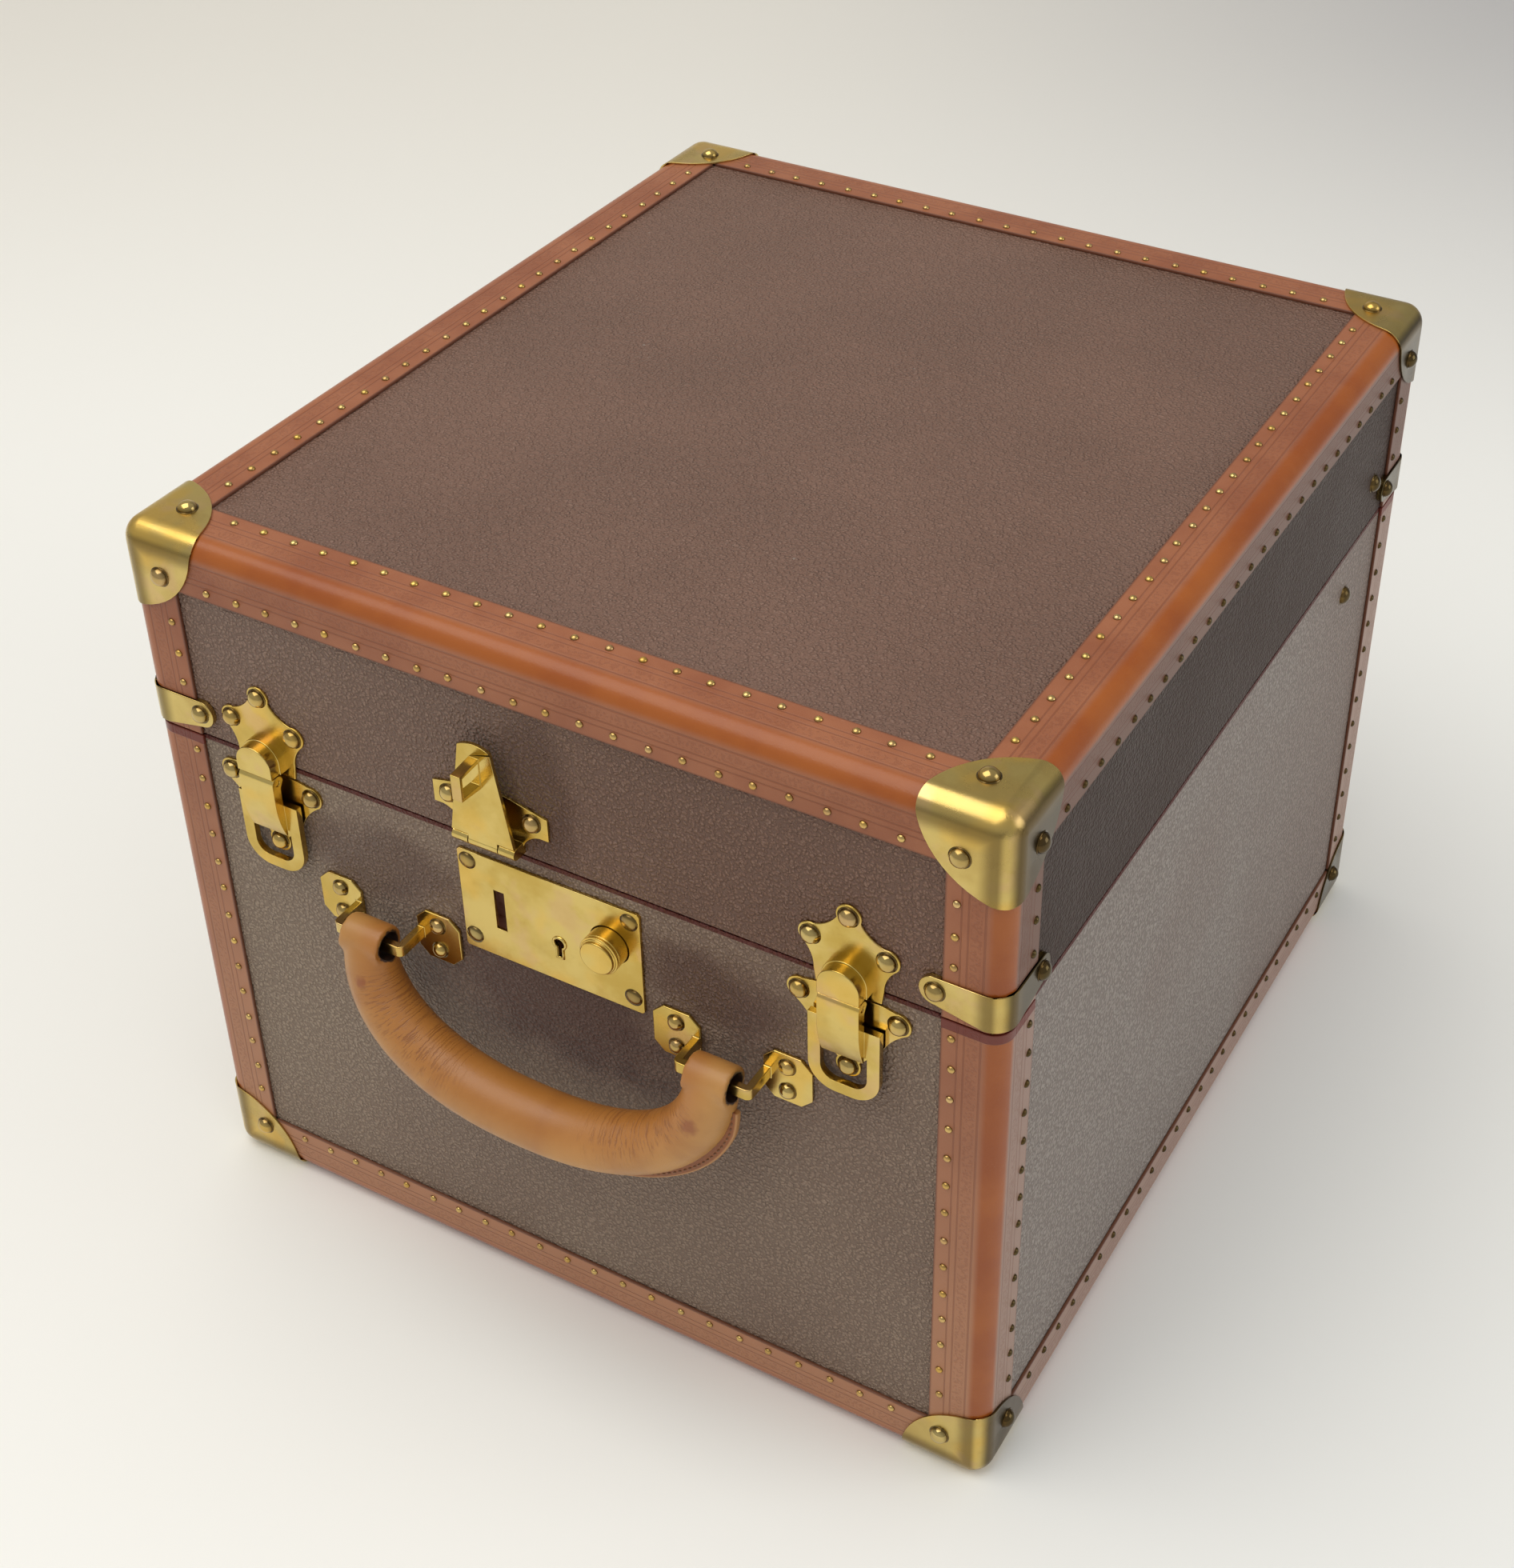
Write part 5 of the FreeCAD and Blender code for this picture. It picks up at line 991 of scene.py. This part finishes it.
# Handle seam: the two edges of the handle's leather, laid together along its outer side and sewn through.
# The flange stands out a few millimetres, turned a little toward the trunk, with waxed thread on both sides.
def make_stitch_row(material):
    """Nodes that lay a short stitch on each point, which carries its outward direction and the seam's run."""
    sizes = {"Half length": 0.9 * MM, "Thread": 0.4 * MM}
    tree = new_group("stitch_row", "Geometry", {"Points": "Geometry", **sizes}, {"Stitches": "Geometry"})
    given = add(tree, "NodeGroupInput").outputs
    facing = carried(tree, "facing")
    run = carried(tree, "run")
    turn = add(tree, "FunctionNodeAxesToRotation", {"Primary Axis": facing, "Secondary Axis": run},
               primary_axis="Z", secondary_axis="X").outputs[0]
    size = gather(tree, given["Half length"], given["Thread"], given["Thread"])
    ball = add(tree, "GeometryNodeMeshUVSphere", {"Segments": 8, "Rings": 6, "Radius": 1.0}).outputs[0]
    return set_on_points(tree, material, Points=given["Points"], Instance=ball, Rotation=turn, Scale=size)


WELT_TURN = math.radians(3)
WELT_HALF = 1.6 * MM
WELT_REACH = 2.6 * MM
STITCH_IN = 2.2 * MM
WELT_ROWS, WELT_START, WELT_SPAN, WELT_TAPER = 79, 8, 164, 16
welt = bmesh.new()
rim = welt.verts.layers.float.new("rim")
welt_rows, stitch_points, stitch_facings, stitch_runs = [], [], [], []
for index in range(WELT_ROWS):
    angle = math.radians(WELT_START + WELT_SPAN * index / (WELT_ROWS - 1))
    middle, side, out, wide, deep = grip_frame(angle)
    away = -side * math.cos(WELT_TURN) - out * math.sin(WELT_TURN)
    thick = -side * math.sin(WELT_TURN) + out * math.cos(WELT_TURN)
    root = wide * 0.75
    reach = wide + WELT_REACH * min(1.0, math.sin(angle) / math.sin(math.radians(WELT_TAPER)))
    corners = [(root, WELT_HALF), (reach - 1.4 * MM, WELT_HALF), (reach - 0.5 * MM, WELT_HALF),
               (reach, WELT_HALF * 0.6)]
    corners += [(far, -across) for far, across in reversed(corners)]
    row = [welt.verts.new(middle + away * far + thick * across) for far, across in corners]
    for corner, (far, across) in zip(row, corners):
        corner[rim] = 1.0 if far > reach - MM else 0.0
    welt_rows.append(row)
    for sign in (-1, 1):
        stitch_points.append(middle + away * (reach - STITCH_IN) + thick * WELT_HALF * sign)
        stitch_facings.append(tuple(thick * sign))
        stitch_runs.append(tuple(side.cross(out)))
skin_rings(welt, welt_rows)
welt_leather, tree, shader = new_material("welt_leather")
spot = place_on_piece(tree)
age = use_group(tree, scuffs, Vector=spot, Scale=60.0)
edge = add(tree, "ShaderNodeAttribute", attribute_name="rim").outputs["Fac"]
groove = mottled(tree, age, (0.2, 0.06, 0.016, 1), (0.3, 0.1, 0.028, 1))
feed(tree, shader, roughness=step(tree, age["Mottle"], 0.3, 0.7, 0.38, 0.55),
     base_color=blend(tree, step(tree, edge, 0.2, 0.9), groove, (0.46, 0.22, 0.075, 1)))
pores = use_group(tree, pebble_grain, Vector=spot, Scale=1800.0)
raise_surface(tree, shader, pores["Height"], 0.3, 0.0003)
seat(softened(welt, "handle_welt", bevel=0.3 * MM), "handle", "handle", welt_leather)
thread, tree, shader = new_material("waxed_thread", roughness=0.6)
twist = noise(tree, place_on_piece(tree), 2600.0, 2.0)
feed(tree, shader, base_color=blend(tree, twist, (0.13, 0.05, 0.02, 1), (0.26, 0.12, 0.05, 1)))
raise_surface(tree, shader, twist, 0.4, 0.0002)
stitches = carrier("stitch_points", stitch_points, [], facing=stitch_facings, run=stitch_runs)
seat(grown(stitches, make_stitch_row(thread), "handle_stitches"), "handle", "handle", None)


# Back hinges and lid stays: plain brass butt hinges on the back, and flat two-link stays inside each side.
# The stays fold forward as the lid shuts and stop it just past upright.
for side in ("left", "right"):
    reseat(f"hinge_base_leaf_{side}", "base", "brass", fitting_brass, bevel=0.3 * MM)
    reseat(f"hinge_lid_leaf_{side}", "lid", "brass", fitting_brass, bevel=0.3 * MM)
    for link in ("lower", "upper"):
        reseat(f"stay_{link}_{side}", f"stay_{link}_{side}", "brass", cap_brass, bevel=0.25 * MM)
dress(cap_brass, "stay_studs_base", "stay_studs_lid")


# Floor and backdrop: one pale paper sweep, with soft light from overhead and a little from the right.
# The camera stands in front and to the right of the trunk, looking down on it.
SWEEP_TURN = math.radians(29)
SWEEP_HALF, SWEEP_FRONT, SWEEP_TOP = 14.0, -12.0, 4.5
BEND_START, BEND = 2.2, 1.2


def sweep_paper():
    """A floor that curves up into a wall far behind the trunk."""
    made = bmesh.new()
    profile = [(SWEEP_FRONT, 0.0), (BEND_START, 0.0)]
    for index in range(1, 13):
        turn = math.pi / 2 * index / 12
        profile.append((BEND_START + BEND * math.sin(turn), BEND - BEND * math.cos(turn)))
    profile.append((BEND_START + BEND, SWEEP_TOP))
    rows = [[made.verts.new((x, y, z)) for x in (-SWEEP_HALF, SWEEP_HALF)] for y, z in profile]
    bmesh.ops.transform(made, matrix=Matrix.Rotation(SWEEP_TURN, 4, "Z"), verts=made.verts)
    for low, high in zip(rows, rows[1:]):
        made.faces.new((low[0], low[1], high[1], high[0]))
    return as_object(made, "paper_sweep")


paper = sweep_paper()
paper.data.shade_smooth()
paper_white, tree, shader = new_material("paper_white", roughness=0.7)
spot = place_on_piece(tree)
fibres = noise(tree, spot, 1.2, 3.0)
to_right = (math.cos(SWEEP_TURN), math.sin(SWEEP_TURN), 0)
to_back = (-math.sin(SWEEP_TURN), math.cos(SWEEP_TURN), 0)
rightward = vector_calc(tree, "DOT_PRODUCT", spot, to_right)
backward = vector_calc(tree, "DOT_PRODUCT", spot, to_back)
floor_paper = blend(tree, fibres, (0.91, 0.895, 0.83, 1), (0.94, 0.93, 0.87, 1))
# Painted shade: the wall is painted darker and greyer toward the right.
wall_paper = blend(tree, step(tree, rightward, -0.2, 0.9), (0.86, 0.82, 0.73, 1), (0.54, 0.525, 0.51, 1))
feed(tree, shader, base_color=blend(tree, step(tree, backward, 0.2, 1.4), floor_paper, wall_paper))
paper.data.materials.append(paper_white)
paper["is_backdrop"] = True

world = bpy.data.worlds.new("room")
bpy.context.scene.world = world
world.use_nodes = True
tree = world.node_tree
room_light = tree.nodes["Background"]
room_light.inputs["Color"].default_value = (0.93, 0.95, 1.0, 1)
room_light.inputs["Strength"].default_value = 0.6
pale_room = add(tree, "ShaderNodeBackground", {"Color": (0.5, 0.5, 0.5, 1), "Strength": 1.0})
ray = add(tree, "ShaderNodeLightPath").outputs
looked_at = calc(tree, "MAXIMUM", ray["Is Camera Ray"],
                 calc(tree, "MAXIMUM", ray["Is Glossy Ray"], ray["Is Transmission Ray"]))
room = add(tree, "ShaderNodeMixShader", {0: looked_at, 1: room_light.outputs[0], 2: pale_room.outputs[0]})
tree.links.new(room.outputs[0], tree.nodes["World Output"].inputs["Surface"])


def soft_lamp(name, place, aim, size, power, colour):
    lamp = bpy.data.lights.new(name, "AREA")
    lamp.shape = "RECTANGLE"
    lamp.size, lamp.size_y = size
    lamp.energy = power
    lamp.color = colour
    made = bpy.data.objects.new(name, lamp)
    made.location = place
    made.rotation_mode = "QUATERNION"
    made.rotation_quaternion = (Vector(aim) - Vector(place)).to_track_quat("-Z", "Y")
    bpy.context.scene.collection.objects.link(made)


soft_lamp("overhead", (-0.6, -0.6, 2.4), (0, 0, 0.2), (2.2, 2.2), 36.0, (1.0, 0.97, 0.92))
soft_lamp("right_window", (2.2, 0.6, 1.1), (0, 0, 0.2), (1.4, 1.4), 12.0, (0.92, 0.97, 1.0))

TRUNK_WIDTH = 0.37
CAMERA_AWAY = 2.858 * TRUNK_WIDTH
AIM_RIGHT, AIM_UP = 0.0243, 0.1014
PHOTO_HEIGHT, FOCAL_LENGTH, SHIFT_RIGHT, SHIFT_UP = 1960, 3010, -107.7, -182
SENSOR = 36
azimuth, elevation = math.radians(29.06), math.radians(34.83)
backward = Vector((math.sin(azimuth) * math.cos(elevation), -math.cos(azimuth) * math.cos(elevation),
                   math.sin(elevation)))
rightward = Vector((math.cos(azimuth), math.sin(azimuth), 0))
upward = backward.cross(rightward)
aim = Vector((0, 0, 0.45)) + rightward * AIM_RIGHT + upward * AIM_UP
aim = Vector((0, CASE_BACK * MM, 0)) + TRUNK_WIDTH * aim
lens = bpy.data.cameras.new("photo_camera")
lens.lens = FOCAL_LENGTH / PHOTO_HEIGHT * SENSOR
lens.sensor_width = SENSOR
lens.shift_x = SHIFT_RIGHT / PHOTO_HEIGHT
lens.shift_y = SHIFT_UP / PHOTO_HEIGHT
camera = bpy.data.objects.new("photo_camera", lens)
turned = Matrix((rightward, upward, backward)).transposed().to_4x4()
camera.matrix_world = Matrix.Translation(aim + backward * CAMERA_AWAY) @ turned
bpy.context.scene.collection.objects.link(camera)
bpy.context.scene.camera = camera
bpy.context.scene.view_settings.view_transform = "Standard"

low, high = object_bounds()
